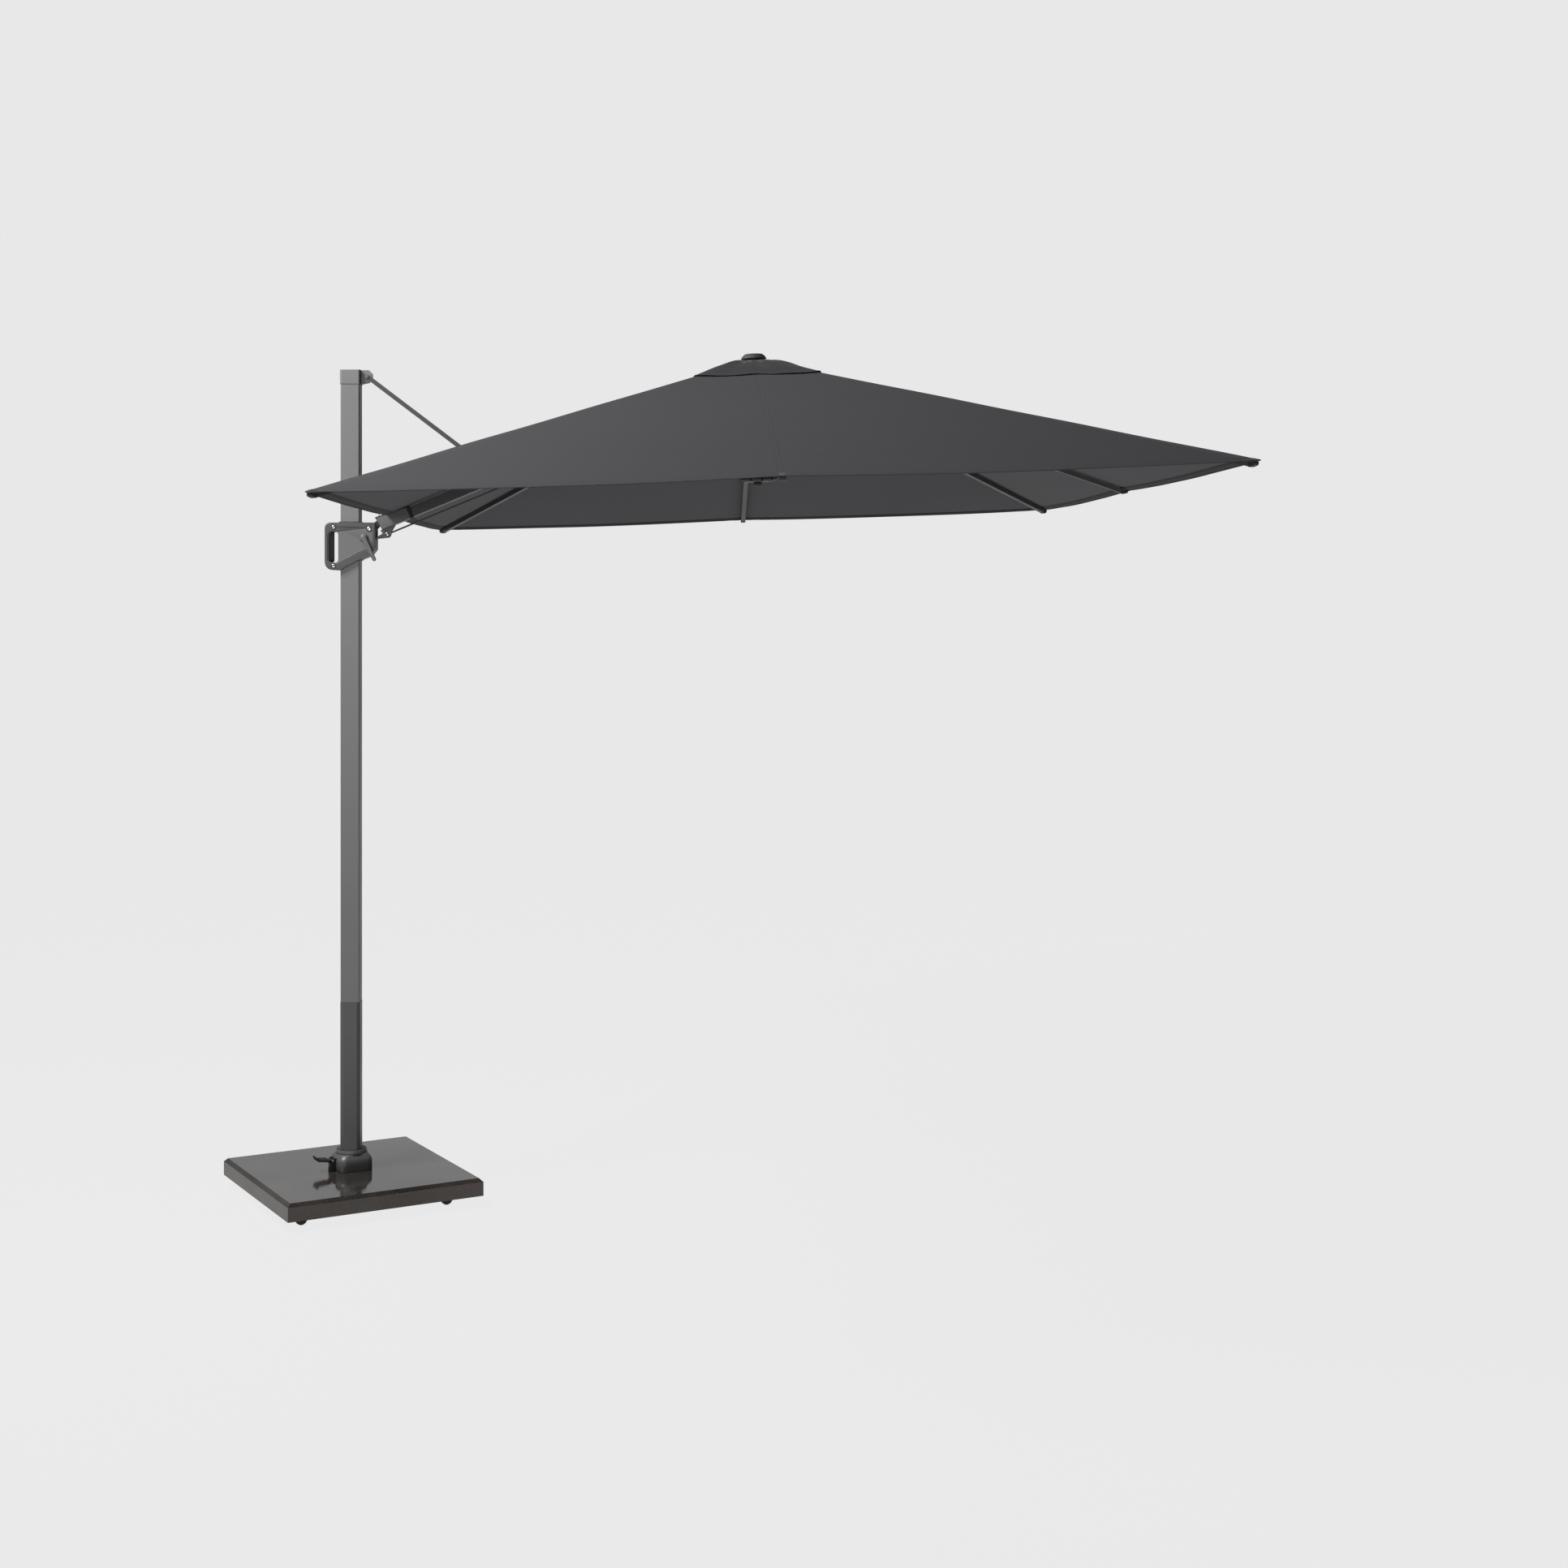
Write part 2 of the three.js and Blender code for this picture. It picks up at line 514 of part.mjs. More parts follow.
function ribBar(rib) {
  const d = RIB_DEEP / 2, w = RIB_WIDE / 2, long = ribLength(rib) - 22, t = RIB_WALL;
  let s = cut(
    box(0, long, -w, w, -d, d),
    box(34, long + 1, -w + t, w - t, -d + t, d - t),
  );
  s = cut(join(s, rod("y", d, -w, w, 0, 0, 16)), rod("y", 3.9, -20, 20, 0, 0, 10));
  s = join(s, rod("y", 4, -w + 1, w + 1.1, stretcherReach(rib), 0, 8));
  return mesh("rib_" + rib.tag, s, DARK_METAL);
}

function ribCap(rib) {
  const d = RIB_DEEP / 2, w = RIB_WIDE / 2, long = ribLength(rib), from = long - 22 + GAP, t = RIB_WALL + GAP;
  const head = across(outline([[from, d, 0], [from, -d - 1.5, 0], [long - 4, -d - 1.5, 4], [long, -4, 4], [long, d, 4]]),
    -w - 1, w + 1, 3);
  const plug = box(from - 18, from + 1, -w + t, w - t, -d + t, d - t);
  return mesh("rib_cap_" + rib.tag, join(head, plug), BLACK);
}

function stretcher(rib) {
  const s = Math.atan(slopeTan(rib)), b = stretcherReach(rib);
  const du = RIB_HINGE_R - RUNNER_HINGE_R + b * Math.cos(s), dw = RUNNER_TRAVEL - b * Math.sin(s);
  const g = new THREE.Group(), tilt = new THREE.Group();
  g.rotation.z = rib.az * DEG;
  tilt.position.set(RUNNER_HINGE_R, STRETCHER_OFFSET, hingeW(rib) - RUNNER_TRAVEL);
  tilt.rotation.y = -Math.atan2(dw, du);
  const t = STRETCHER_THICK / 2;
  tilt.add(mesh("stretcher_" + rib.tag, link(Math.hypot(du, dw), STRETCHER_DEEP, 3.5, 4.4, -t, t), DARK_METAL));
  g.add(tilt);
  return g;
}

// Cuts for one rib's place in a hub: a radial slot and the pin across it.
function place(rib, geometry) {
  return solid(geometry.rotateZ(rib.az * DEG));
}
const slot = (rib, u0, u1, v, half, w0, w1) =>
  place(rib, new THREE.BoxGeometry(u1 - u0, 2 * half, w1 - w0).translate((u0 + u1) / 2, v, (w0 + w1) / 2));
const crossPin = (rib, r, u, v, half, w) =>
  place(rib, new THREE.CylinderGeometry(r, r, 2 * half, 8).translate(u, v, w));

// The roof under the hub's top plate, lowered by a clearance: the nest and the runner both follow it.
const roof = (down) => pyramid(HALF_U - 16, HALF_V - 22, PEAK - 6.2).translate([0, 0, -down]);

// The hub: a ring of rib hinges under a sloping top plate, hollow so that the runner can rise into it.
function topHub() {
  const b = hubPivot();
  let s = rod("z", HUB_R, HUB_LOW, 500, 0, 0, 28).intersect(roof(0));
  for (const rib of RIBS) {
    s = cut(s, slot(rib, RIB_HINGE_R - 12.5, HUB_R + 5, 0, RIB_WIDE / 2 + 0.5, HUB_LOW - 1, 500));
    s = join(s, crossPin(rib, 3.2, RIB_HINGE_R, 0, RIB_WIDE / 2 + 4, hingeW(rib)));
  }
  // the bracket towards the arm: two cheeks joined to the hub by a web
  const rodU = b.u + ROD_DX * Math.cos(CANOPY_TILT * DEG) + ROD_DZ * Math.sin(CANOPY_TILT * DEG);
  const rodW = b.w + ROD_DZ * Math.cos(CANOPY_TILT * DEG) - ROD_DX * Math.sin(CANOPY_TILT * DEG);
  const side = outline([[b.u - 18, b.w + 3, 10], [b.u - 12, b.w + 17, 10], [b.u + 12, b.w + 21, 6], [-66, 462, 4], [-60, 442, 4],
    [rodU + 14, rodW - 8, 8], [rodU, rodW - 15, 8], [rodU - 14, rodW - 8, 8], [b.u - 10, b.w - 18, 10], [b.u - 19, b.w - 9, 8]]);
  const cheek = (y0, y1) => across(side, y0, y1, 3);
  s = join(s, cheek(-21, -15.8), cheek(15.8, 21), box(-86, -66, -16, 16, 442, 456));
  s = join(s, rod("y", 4.9, -24, 24, b.u, b.w, 14), rod("y", 3.5, -19, 19, rodU, rodW, 12));
  s = join(s, rod("y", 8, -24, -20, b.u, b.w, 14), rod("y", 8, 20, 24, b.u, b.w, 14));
  const nest = rod("z", NEST_R, HUB_LOW - 0.5, 500, 0, 0, 28).intersect(roof(HUB_PLATE));
  s = cut(s, nest, rod("z", 8.6, 470, 500, 0, 0, 12));
  return mesh("top_hub", s, GREY_PLASTIC);
}

// The arm's end pivot in the canopy's frame.
function hubPivot() {
  const x = PIVOT_X + ARM_TO_HUB * Math.cos(ARM_DEG * DEG) - CANOPY_X;
  const z = PIVOT_Z + ARM_TO_HUB * Math.sin(ARM_DEG * DEG) - CANOPY_Z;
  const c = Math.cos(CANOPY_TILT * DEG), n = Math.sin(CANOPY_TILT * DEG);
  return { u: x * c + z * n, w: z * c - x * n };
}

const RUNNER_LOW = 71, RUNNER_HIGH = 104;

// The stretchers' hub. Its top slopes to fit the nest, and a notch clears the levelling rod's bracket.
function runner() {
  let s = turned([
    [POLE_R + 0.4, RUNNER_LOW], [30, RUNNER_LOW], [60, RUNNER_LOW + 1.5], [66.5, RUNNER_LOW + 7], [66.5, RUNNER_LOW + 10],
    [63, RUNNER_LOW + 12], [63, RUNNER_HIGH], [30, RUNNER_HIGH], [26, RUNNER_HIGH + 16], [POLE_R + 0.4, RUNNER_HIGH + 16],
    [POLE_R + 0.4, RUNNER_LOW],
  ], 28).intersect(roof(HUB_PLATE + 0.5 + RUNNER_TRAVEL));
  for (const rib of RIBS) {
    s = cut(s, slot(rib, RUNNER_HINGE_R - 10, 75, STRETCHER_OFFSET, STRETCHER_THICK / 2 + 0.5, 60, 140));
    s = join(s, crossPin(rib, 3.1, RUNNER_HINGE_R, STRETCHER_OFFSET, STRETCHER_THICK / 2 + 3, hingeW(rib) - RUNNER_TRAVEL));
  }
  return mesh("runner", cut(s, box(-80, -48, -22.6, 22.6, 60, 140)), BLACK);
}

// The pole hangs from the hub's top plate, and is bored at its top for the finial's screw.
function centrePole() {
  const top = PEAK - 6.2 - HUB_PLATE - 6.5;
  const pole = cut(rod("z", POLE_R, 71.2, top, 0, 0, 20), rod("z", 8.4, 477.4, 500, 0, 0, 12));
  return mesh("centre_pole", pole, DARK_METAL);
}

function poleKnob() {
  return mesh("pole_knob", turned([[0, 56.5], [9, 56.8], [14, 59], [15.5, 63], [15.5, 68], [13, 70.6], [0, 70.6]], 18), BLACK);
}

function finial() {
  return mesh("finial", turned([
    [0, 478], [8, 478], [8, 514], [32, 512], [41, 502.6], [44, 501.6], [44.5, 504], [40, 511], [31, 518.6], [0, 521],
  ], 24), BLACK);
}

// ---------- cloth ----------
// A thin pyramid skin whose outer point is at w = peak and whose edge is at w = low.
function skin(halfU, halfV, low, peak) {
  const thick = FABRIC / Math.cos(Math.atan(PEAK / HALF_U));
  const k = (peak - low) / PEAK;
  const outer = pyramid(HALF_U * k, HALF_V * k, peak - low).translate([0, 0, low]);
  const inner = pyramid(HALF_U * k, HALF_V * k, peak - low).translate([0, 0, low - thick]);
  return cut(outer, inner).intersect(box(-halfU, halfU, -halfV, halfV, low - 5, peak + 5));
}

function canopy() {
  const b = hubPivot(), at = b.u - (ARM_TO_HUB - STAY_ALONG) * Math.cos((ARM_DEG - CANOPY_TILT) * DEG);
  return mesh("canopy", cut(
    skin(HALF_U, HALF_V, 0, PEAK),
    box(-150, 150, -200, 200, 300, 600),
    box(at - 75, at + 30, -27, 27, 0, 500),
  ), CLOTH);
}

function ventFlap() {
  const k = 1 - VENT_U / HALF_U, low = PEAK * k + VENT_LIFT;
  const s = cut(pyramid(VENT_U, VENT_U * HALF_V / HALF_U, PEAK - PEAK * k), pyramid(VENT_U, VENT_U * HALF_V / HALF_U,
    PEAK - PEAK * k).translate([0, 0, -2.4])).translate([0, 0, low]);
  return mesh("vent_flap", cut(s, rod("z", 14, 400, 600, 0, 0, 16)), CLOTH);
}

// ---------- assembly ----------
const parasol = new THREE.Group();
const standing = new THREE.Group();
standing.position.x = MAST_X;
parasol.add(standing);

const base = new THREE.Group();
base.rotation.z = SLAB_YAW * DEG;
standing.add(base);
base.add(baseSlab(), socketHousing(), socketRing(), bearingTube(), lockPin());
CASTOR_PLACES.forEach(([i, j], n) => {
  const castor = new THREE.Group();
  castor.position.set(i * CASTOR_OUT, j * CASTOR_OUT, 0);
  castor.add(castorFork("castor_fork_" + (n + 1)), castorWheel("castor_wheel_" + (n + 1)));
  base.add(castor);
});
const pedal = new THREE.Group();
pedal.position.set(-HOUSING / 2 - 11, 0, SLAB_TOP + GAP + 36);
pedal.add(footPedal());
base.add(pedal);

standing.add(lowerMast(), upperMast(), mastCap(), stayTopPin());

standing.add(
  carriageShell("carriage_near", -1), carriageShell("carriage_far", 1), slideBush(), trigger(),
  throughBolt("grip_bolt_upper", -55.7, 2340, 3.4, 6.2, CARR_HALF + 0.6),
  throughBolt("grip_bolt_lower", -55.7, 2205, 3.4, 6.2, CARR_HALF + 0.6),
  throughBolt("arm_pivot_bolt", PIVOT_X, PIVOT_Z, BOLT_R, 7.5, CARR_HALF + 0.6),
  throughBolt("rod_pivot_bolt", PIVOT_X + ROD_DX, PIVOT_Z + ROD_DZ, 3.5, 6.5, 12.6),
);
const lever = new THREE.Group();
lever.position.set(50.6, 0, 2301);
lever.add(clampLever());
standing.add(lever);

const sloping = sloped(PIVOT_X, PIVOT_Z, ARM_DEG);
sloping.add(armSocket(), arm());
const levelling = sloped(PIVOT_X + ROD_DX, PIVOT_Z + ROD_DZ, ARM_DEG);
levelling.add(levelRod());
const stayFootX = PIVOT_X + STAY_ALONG * Math.cos(ARM_DEG * DEG), stayFootZ = PIVOT_Z + STAY_ALONG * Math.sin(ARM_DEG * DEG);
const staying = sloped(STAY_TOP_X, STAY_TOP_Z,
  Math.atan2(stayFootZ - STAY_TOP_Z, stayFootX - STAY_TOP_X) / DEG);
staying.add(stay(Math.hypot(stayFootX - STAY_TOP_X, stayFootZ - STAY_TOP_Z)));
standing.add(sloping, levelling, staying);

const top = sloped(CANOPY_X, CANOPY_Z, CANOPY_TILT);
top.add(topHub(), centrePole(), poleKnob(), finial(), runner(), canopy(), ventFlap());
for (const rib of RIBS) {
  const [turn, tilt] = ribFrame(rib);
  tilt.add(ribBar(rib), ribCap(rib));
  top.add(turn, stretcher(rib));
}
standing.add(top);

export default parasol;
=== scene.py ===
# Cantilever parasol: its surfaces, cloth and small parts. Metres, +Z up, arm along +X.
import math

import bmesh
import bpy
import numpy as np
from mathutils import Matrix, Vector, noise


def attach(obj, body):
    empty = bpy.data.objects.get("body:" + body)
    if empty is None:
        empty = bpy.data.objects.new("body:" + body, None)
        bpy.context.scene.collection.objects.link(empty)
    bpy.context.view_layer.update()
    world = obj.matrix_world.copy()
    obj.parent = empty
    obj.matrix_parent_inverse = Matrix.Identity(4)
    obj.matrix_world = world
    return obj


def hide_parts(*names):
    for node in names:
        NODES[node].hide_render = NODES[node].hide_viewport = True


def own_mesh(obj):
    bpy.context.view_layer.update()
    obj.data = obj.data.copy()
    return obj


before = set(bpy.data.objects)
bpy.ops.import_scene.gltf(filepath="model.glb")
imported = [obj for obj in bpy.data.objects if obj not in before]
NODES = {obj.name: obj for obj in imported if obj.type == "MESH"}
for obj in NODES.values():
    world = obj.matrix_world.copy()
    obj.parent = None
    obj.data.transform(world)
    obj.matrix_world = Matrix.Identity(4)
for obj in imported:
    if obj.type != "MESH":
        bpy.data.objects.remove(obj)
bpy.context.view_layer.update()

# ---------- shared dimensions, in metres ----------
MAST_X = -1.125
SLAB_YAW = math.radians(28.5)
PIVOT = Vector((MAST_X + 0.0679, 0, 2.334))
ROD_STEP = Vector((0.0588, 0, -0.0178))
ARM_UP = math.radians(22.5)
ARM_LONG, STAY_ALONG = 1.3196, 0.484
CANOPY_AT, CANOPY_TILT = Vector((MAST_X + 1.425, 0, 2.4275)), math.radians(1.89)
HALF_U, HALF_V, PEAK = 1.300, 1.750, 0.5015
CARR_HALF = 0.042


# ---------- node helpers ----------
class Nodes:
    """A short way to build a material's nodes."""

    def __init__(self, name):
        self.mat = bpy.data.materials.new(name)
        self.mat.use_nodes = True
        self.tree = self.mat.node_tree
        self.bsdf = self.tree.nodes["Principled BSDF"]

    def add(self, kind, **sockets):
        n = self.tree.nodes.new("ShaderNode" + kind)
        for k, v in sockets.items():
            if hasattr(n, k) and k not in n.inputs:
                setattr(n, k, v)
            else:
                self.put(n.inputs[k.replace("_", " ")], v)
        return n

    def put(self, socket, v):
        if isinstance(v, bpy.types.NodeSocket):
            self.tree.links.new(v, socket)
        else:
            socket.default_value = v

    def math(self, op, a, b=0.0, c=0.0, clamp=False):
        n = self.tree.nodes.new("ShaderNodeMath")
        n.operation, n.use_clamp = op, clamp
        for i, v in enumerate((a, b, c)):
            self.put(n.inputs[i], v)
        return n.outputs[0]

    def range(self, v, a, b, c, d):
        n = self.tree.nodes.new("ShaderNodeMapRange")
        for i, x in enumerate((v, a, b, c, d)):
            self.put(n.inputs[i], x)
        return n.outputs[0]

    def mix(self, fac, a, b, blend="MIX"):
        n = self.tree.nodes.new("ShaderNodeMix")
        n.data_type, n.blend_type = "RGBA", blend
        self.put(n.inputs[0], fac)
        self.put(n.inputs[6], a if isinstance(a, bpy.types.NodeSocket) else (*a, 1))
        self.put(n.inputs[7], b if isinstance(b, bpy.types.NodeSocket) else (*b, 1))
        return n.outputs[2]

    def coords(self, scale=(1, 1, 1), turn=(0, 0, 0)):
        c = self.tree.nodes.new("ShaderNodeTexCoord")
        m = self.tree.nodes.new("ShaderNodeMapping")
        m.inputs["Scale"].default_value = scale
        m.inputs["Rotation"].default_value = turn
        self.tree.links.new(c.outputs["Object"], m.inputs["Vector"])
        return m.outputs[0]

    def noise(self, scale, detail=3.0, rough=0.55, at=None):
        n = self.tree.nodes.new("ShaderNodeTexNoise")
        n.inputs["Scale"].default_value = scale
        n.inputs["Detail"].default_value = detail
        n.inputs["Roughness"].default_value = rough
        self.tree.links.new(at if at is not None else self.coords(), n.inputs["Vector"])
        return n.outputs[0]

    def bump(self, height, strength, distance, normal=None):
        n = self.tree.nodes.new("ShaderNodeBump")
        n.inputs["Strength"].default_value = strength
        n.inputs["Distance"].default_value = distance
        self.put(n.inputs["Height"], height)
        if normal is not None:
            self.put(n.inputs["Normal"], normal)
        return n.outputs[0]

    def set(self, **sockets):
        names = {"color": "Base Color", "rough": "Roughness", "metal": "Metallic", "normal": "Normal",
                 "coat": "Coat Weight", "coat_rough": "Coat Roughness", "ior": "IOR",
                 "spec": "Specular IOR Level", "sheen": "Sheen Weight", "sheen_rough": "Sheen Roughness",
                 "sheen_tint": "Sheen Tint"}
        for k, v in sockets.items():
            self.put(self.bsdf.inputs[names[k]], (*v, 1) if isinstance(v, tuple) and len(v) == 3 else v)
        return self.mat


def grey(v, tint=(1, 1, 1)):
    """Linear colour of an sRGB grey from 0 to 255, with a tint."""
    c = v / 255
    c = c / 12.92 if c < 0.04045 else ((c + 0.055) / 1.055) ** 2.4
    return tuple(c * t for t in tint)


# ---------- materials ----------
def painted(name, tone, tint=(1, 1, 1), metal=0.25, rough=0.45, grain=900):
    """Powder coat: fine orange-peel grain, faint cloudy tone, slightly worn edges."""
    n = Nodes(name)
    c = grey(tone, tint)
    cloud = n.noise(7, 3)
    fine = n.noise(grain, 2)
    tone_c = n.mix(n.range(cloud, 0.3, 0.7, 0, 1), tuple(x * 0.93 for x in c), tuple(x * 1.07 for x in c))
    tone_c = n.mix(n.range(fine, 0.35, 0.65, 0, 0.25), tone_c, tuple(x * 1.3 for x in c))
    edge = n.tree.nodes.new("ShaderNodeNewGeometry")
    worn = n.math("MULTIPLY", n.range(edge.outputs["Pointiness"], 0.53, 0.62, 0, 1), 0.35)
    tone_c = n.mix(worn, tone_c, tuple(min(1, x * 1.9 + 0.02) for x in c))
    r = n.range(n.math("ADD", cloud, n.math("MULTIPLY", fine, 0.4)), 0.4, 1.0, rough - 0.06, rough + 0.08)
    return n.set(color=tone_c, rough=r, metal=metal, normal=n.bump(fine, 0.12, 0.0006))


def plastic(name, tone, tint=(1, 1, 1), rough=0.55, grain=1500, strength=0.25):
    """Moulded plastic with a fine spark-eroded grain and light scuffs."""
    n = Nodes(name)
    c = grey(tone, tint)
    grain_h = n.noise(grain, 2, 0.6)
    scuff = n.noise(46, 5, 0.7, n.coords((1, 1, 3.0)))
    col = n.mix(n.range(scuff, 0.45, 0.75, 0, 0.5), c, tuple(min(1, x * 1.35 + 0.004) for x in c))
    r = n.range(scuff, 0.35, 0.7, rough - 0.05, rough + 0.1)
    return n.set(color=col, rough=r, normal=n.bump(grain_h, strength, 0.0005))


def bare_steel(name, tone=196, rough=0.28):
    """Zinc-plated steel with turning lines."""
    n = Nodes(name)
    lines = n.noise(90, 3, 0.6, n.coords((1, 1, 40)))
    cloud = n.noise(60, 2)
    col = n.mix(n.range(cloud, 0.3, 0.7, 0, 1), grey(tone - 18), grey(tone + 8))
    return n.set(color=col, metal=1.0, rough=n.range(lines, 0.3, 0.7, rough - 0.06, rough + 0.12),
                 normal=n.bump(lines, 0.08, 0.0003))


def granite(name):
    """Dark polished granite: crystals of several sizes and clouds of brown and grey under a clear polish."""
    n = Nodes(name)
    at = n.coords()
    vor = n.tree.nodes.new("ShaderNodeTexVoronoi")
    vor.inputs["Scale"].default_value = 420
    n.put(vor.inputs["Vector"], at)
    cloud = n.noise(3.2, 4, 0.6, at)
    mid = n.noise(120, 4, 0.65, at)
    base = n.mix(n.range(cloud, 0.35, 0.65, 0, 1), grey(30, (1.14, 0.97, 0.88)), grey(58, (1.18, 0.98, 0.90)))
    base = n.mix(n.range(mid, 0.45, 0.72, 0, 0.5), base, grey(20))
    base = n.mix(n.range(vor.outputs["Color"], 0.62, 0.95, 0, 0.35), base, grey(96, (1.08, 0.98, 0.92)))
    r = n.range(n.noise(14, 4), 0.35, 0.7, 0.05, 0.12)
    n.bsdf.inputs["Specular Tint"].default_value = (1.0, 0.90, 0.83, 1)
    return n.set(color=base, rough=r, ior=1.66, spec=0.6, normal=n.bump(mid, 0.02, 0.0003))


def tyre_rubber(name):
    n = Nodes(name)
    h = n.noise(260, 3)
    return n.set(color=n.mix(n.range(h, 0.3, 0.7, 0, 1), grey(34), grey(52)), rough=0.78,
                 normal=n.bump(h, 0.3, 0.0006))


def cloth(name, tone=54, tint=(0.985, 0.975, 1.09)):
    """Solution-dyed canopy cloth: plain weave in bump, a heathered yarn tone, stitched hems and rib seams.
    Its underside is painted about twice as light: painted light standing in for light through the cloth and
    from below.
    UV map 'hem' holds metres along and in from the edge; UV map 'seam' metres along and off the rib seam."""
    n = Nodes(name)
    c = grey(tone, tint)
    warp = n.noise(1.0, 2, 0.5, n.coords((2600, 90, 90)))
    weft = n.noise(1.0, 2, 0.5, n.coords((90, 2600, 90)))
    yarn = n.math("MULTIPLY", n.math("ADD", warp, weft), 0.5)
    cloud = n.noise(2.1, 3, 0.5)
    col = n.mix(n.range(yarn, 0.38, 0.62, 0, 1), tuple(x * 0.82 for x in c), tuple(x * 1.2 for x in c))
    col = n.mix(n.range(cloud, 0.3, 0.7, 0, 0.5), col, tuple(x * 1.13 for x in c))

    def lines(layer, at, pitch):
        uv = n.tree.nodes.new("ShaderNodeUVMap")
        uv.uv_map = layer
        sep = n.tree.nodes.new("ShaderNodeSeparateXYZ")
        n.put(sep.inputs[0], uv.outputs[0])
        along, off = sep.outputs[0], sep.outputs[1]
        dash = n.range(n.math("SINE", n.math("MULTIPLY", along, 2 * math.pi / pitch)), -0.35, -0.15, 0, 1)
        near = n.range(n.math("ABSOLUTE", n.math("SUBTRACT", off, at)), 0.0006, 0.0012, 1, 0)
        fold = n.range(n.math("ABSOLUTE", n.math("SUBTRACT", off, at)), 0.0, 0.0055, 0, 1)
        return n.math("MULTIPLY", dash, near), fold, off

    hem, hem_fold, off = lines("hem", 0.026, 0.0042)
    seam, seam_fold, _ = lines("seam", 0.0065, 0.0042)
    stitch = n.math("MAXIMUM", hem, seam)
    col = n.mix(n.math("MULTIPLY", stitch, 0.75), col, tuple(x * 0.45 for x in c))
    # Painted shade: the doubled hem band is painted a little darker, for two layers of cloth letting less
    # light through.
    doubled = n.range(off, 0.0262, 0.0272, 0.12, 0)
    col = n.mix(doubled, col, tuple(x * 0.6 for x in c))
    # Painted light: the underside (back faces) gets the colour divided by a light grey, about twice as
    # bright, for light shining through the cloth and bounced up from below.
    back = n.tree.nodes.new("ShaderNodeNewGeometry").outputs["Backfacing"]
    underside_painted_light = n.mix(1.0, col, grey(190, (0.98, 1.0, 1.04)), "DIVIDE")
    col = n.mix(back, col, underside_painted_light)
    height = n.math("ADD", n.math("MULTIPLY", yarn, 0.25), n.math("MULTIPLY", hem_fold, 1.0))
    height = n.math("ADD", height, n.math("MULTIPLY", seam_fold, 1.0))
    height = n.math("ADD", height, n.range(off, 0.0262, 0.0276, 1.0, 0))
    height = n.math("ADD", height, n.math("MULTIPLY", stitch, 0.8))
    soft = n.bump(n.noise(5.5, 3, 0.5), 0.25, 0.006)
    crease = n.bump(n.noise(26, 4, 0.6), 0.12, 0.002, soft)
    return n.set(color=col, rough=0.9, sheen=0.06, sheen_rough=0.5, spec=0.12,
                 normal=n.bump(height, 0.5, 0.0008, crease))


MAST_PAINT = painted("mast_paint", 101, metal=0.3, rough=0.42)
LOWER_PAINT = painted("lower_mast_paint", 80, metal=0.35, rough=0.38)
FRAME_PAINT = painted("frame_paint", 62, (0.98, 0.98, 1.03), metal=0.4, rough=0.4)
CAST_PAINT = painted("cast_handle_paint", 92, metal=0.2, rough=0.5, grain=1300)
SOCKET_PLASTIC = plastic("socket_plastic", 84, rough=0.42, strength=0.15)
HOUSING_PLASTIC = plastic("housing_plastic", 86, rough=0.36, strength=0.12)
BLACK_PLASTIC = plastic("black_plastic", 34, rough=0.5)
SOFT_BLACK = plastic("soft_black", 24, rough=0.66, strength=0.4)
STEEL = bare_steel("zinc_steel")
WHITE_STEEL = bare_steel("bolt_steel", 214, 0.34)
STONE = granite("polished_granite")
TREAD = tyre_rubber("wheel_tread")
CLOTH = cloth("canopy_cloth")
VENT_CLOTH = cloth("vent_cloth", 46)
FINIAL_PLASTIC = plastic("finial_plastic", 60, (1, 1, 1.05))

# ---------- solid nodes: materials, and softened edges ----------
LOOKS = {
    "base_slab": STONE, "socket_housing": HOUSING_PLASTIC, "socket_ring": HOUSING_PLASTIC,
    "bearing_tube": STEEL,
    "foot_pedal": BLACK_PLASTIC, "lock_pin": STEEL, "lower_mast": LOWER_PAINT, "upper_mast": MAST_PAINT,
    "mast_cap": MAST_PAINT, "stay_top_pin": SOCKET_PLASTIC,
    "carriage_near": CAST_PAINT, "carriage_far": CAST_PAINT,
    "slide_bush": BLACK_PLASTIC, "trigger": BLACK_PLASTIC, "clamp_lever": CAST_PAINT,
    "grip_bolt_upper": WHITE_STEEL, "grip_bolt_lower": WHITE_STEEL, "arm_pivot_bolt": WHITE_STEEL,
    "rod_pivot_bolt": WHITE_STEEL, "arm_socket": SOCKET_PLASTIC, "arm": FRAME_PAINT, "level_rod": FRAME_PAINT,
    "stay": FRAME_PAINT, "top_hub": BLACK_PLASTIC, "centre_pole": FRAME_PAINT, "pole_knob": BLACK_PLASTIC,
    "finial": FINIAL_PLASTIC, "runner": BLACK_PLASTIC,
}
for name, node in NODES.items():
    mat = LOOKS.get(name)
    if mat is None:
        mat = (BLACK_PLASTIC if name.startswith("rib_cap") else FRAME_PAINT if name.startswith(("rib_",
                                                                                                "stretcher"))
               else STEEL if name.startswith("castor_fork") else TREAD)
    node.data.materials.clear()
    node.data.materials.append(mat)


def soften(node, width, angle=32, segments=2):
    """Rounds a node's sharp edges with a modifier, and shades it smooth between them."""
    o = NODES[node]
    b = o.modifiers.new("edges", "BEVEL")
    b.width, b.segments, b.limit_method, b.angle_limit = width, segments, "ANGLE", math.radians(angle)
    b.harden_normals, b.use_clamp_overlap, b.miter_outer = True, True, "MITER_ARC"
    for p in o.data.polygons:
        p.use_smooth = True
    return o


def smooth_only(node, angle=40):
    """Shades a node smooth, keeping its sharp edges."""
    o = NODES[node]
    for p in o.data.polygons:
        p.use_smooth = True
    bm = bmesh.new()
    bm.from_mesh(o.data)
    for e in bm.edges:
        e.smooth = not (len(e.link_faces) == 2 and e.calc_face_angle(0) > math.radians(angle))
    bm.to_mesh(o.data)
    bm.free()


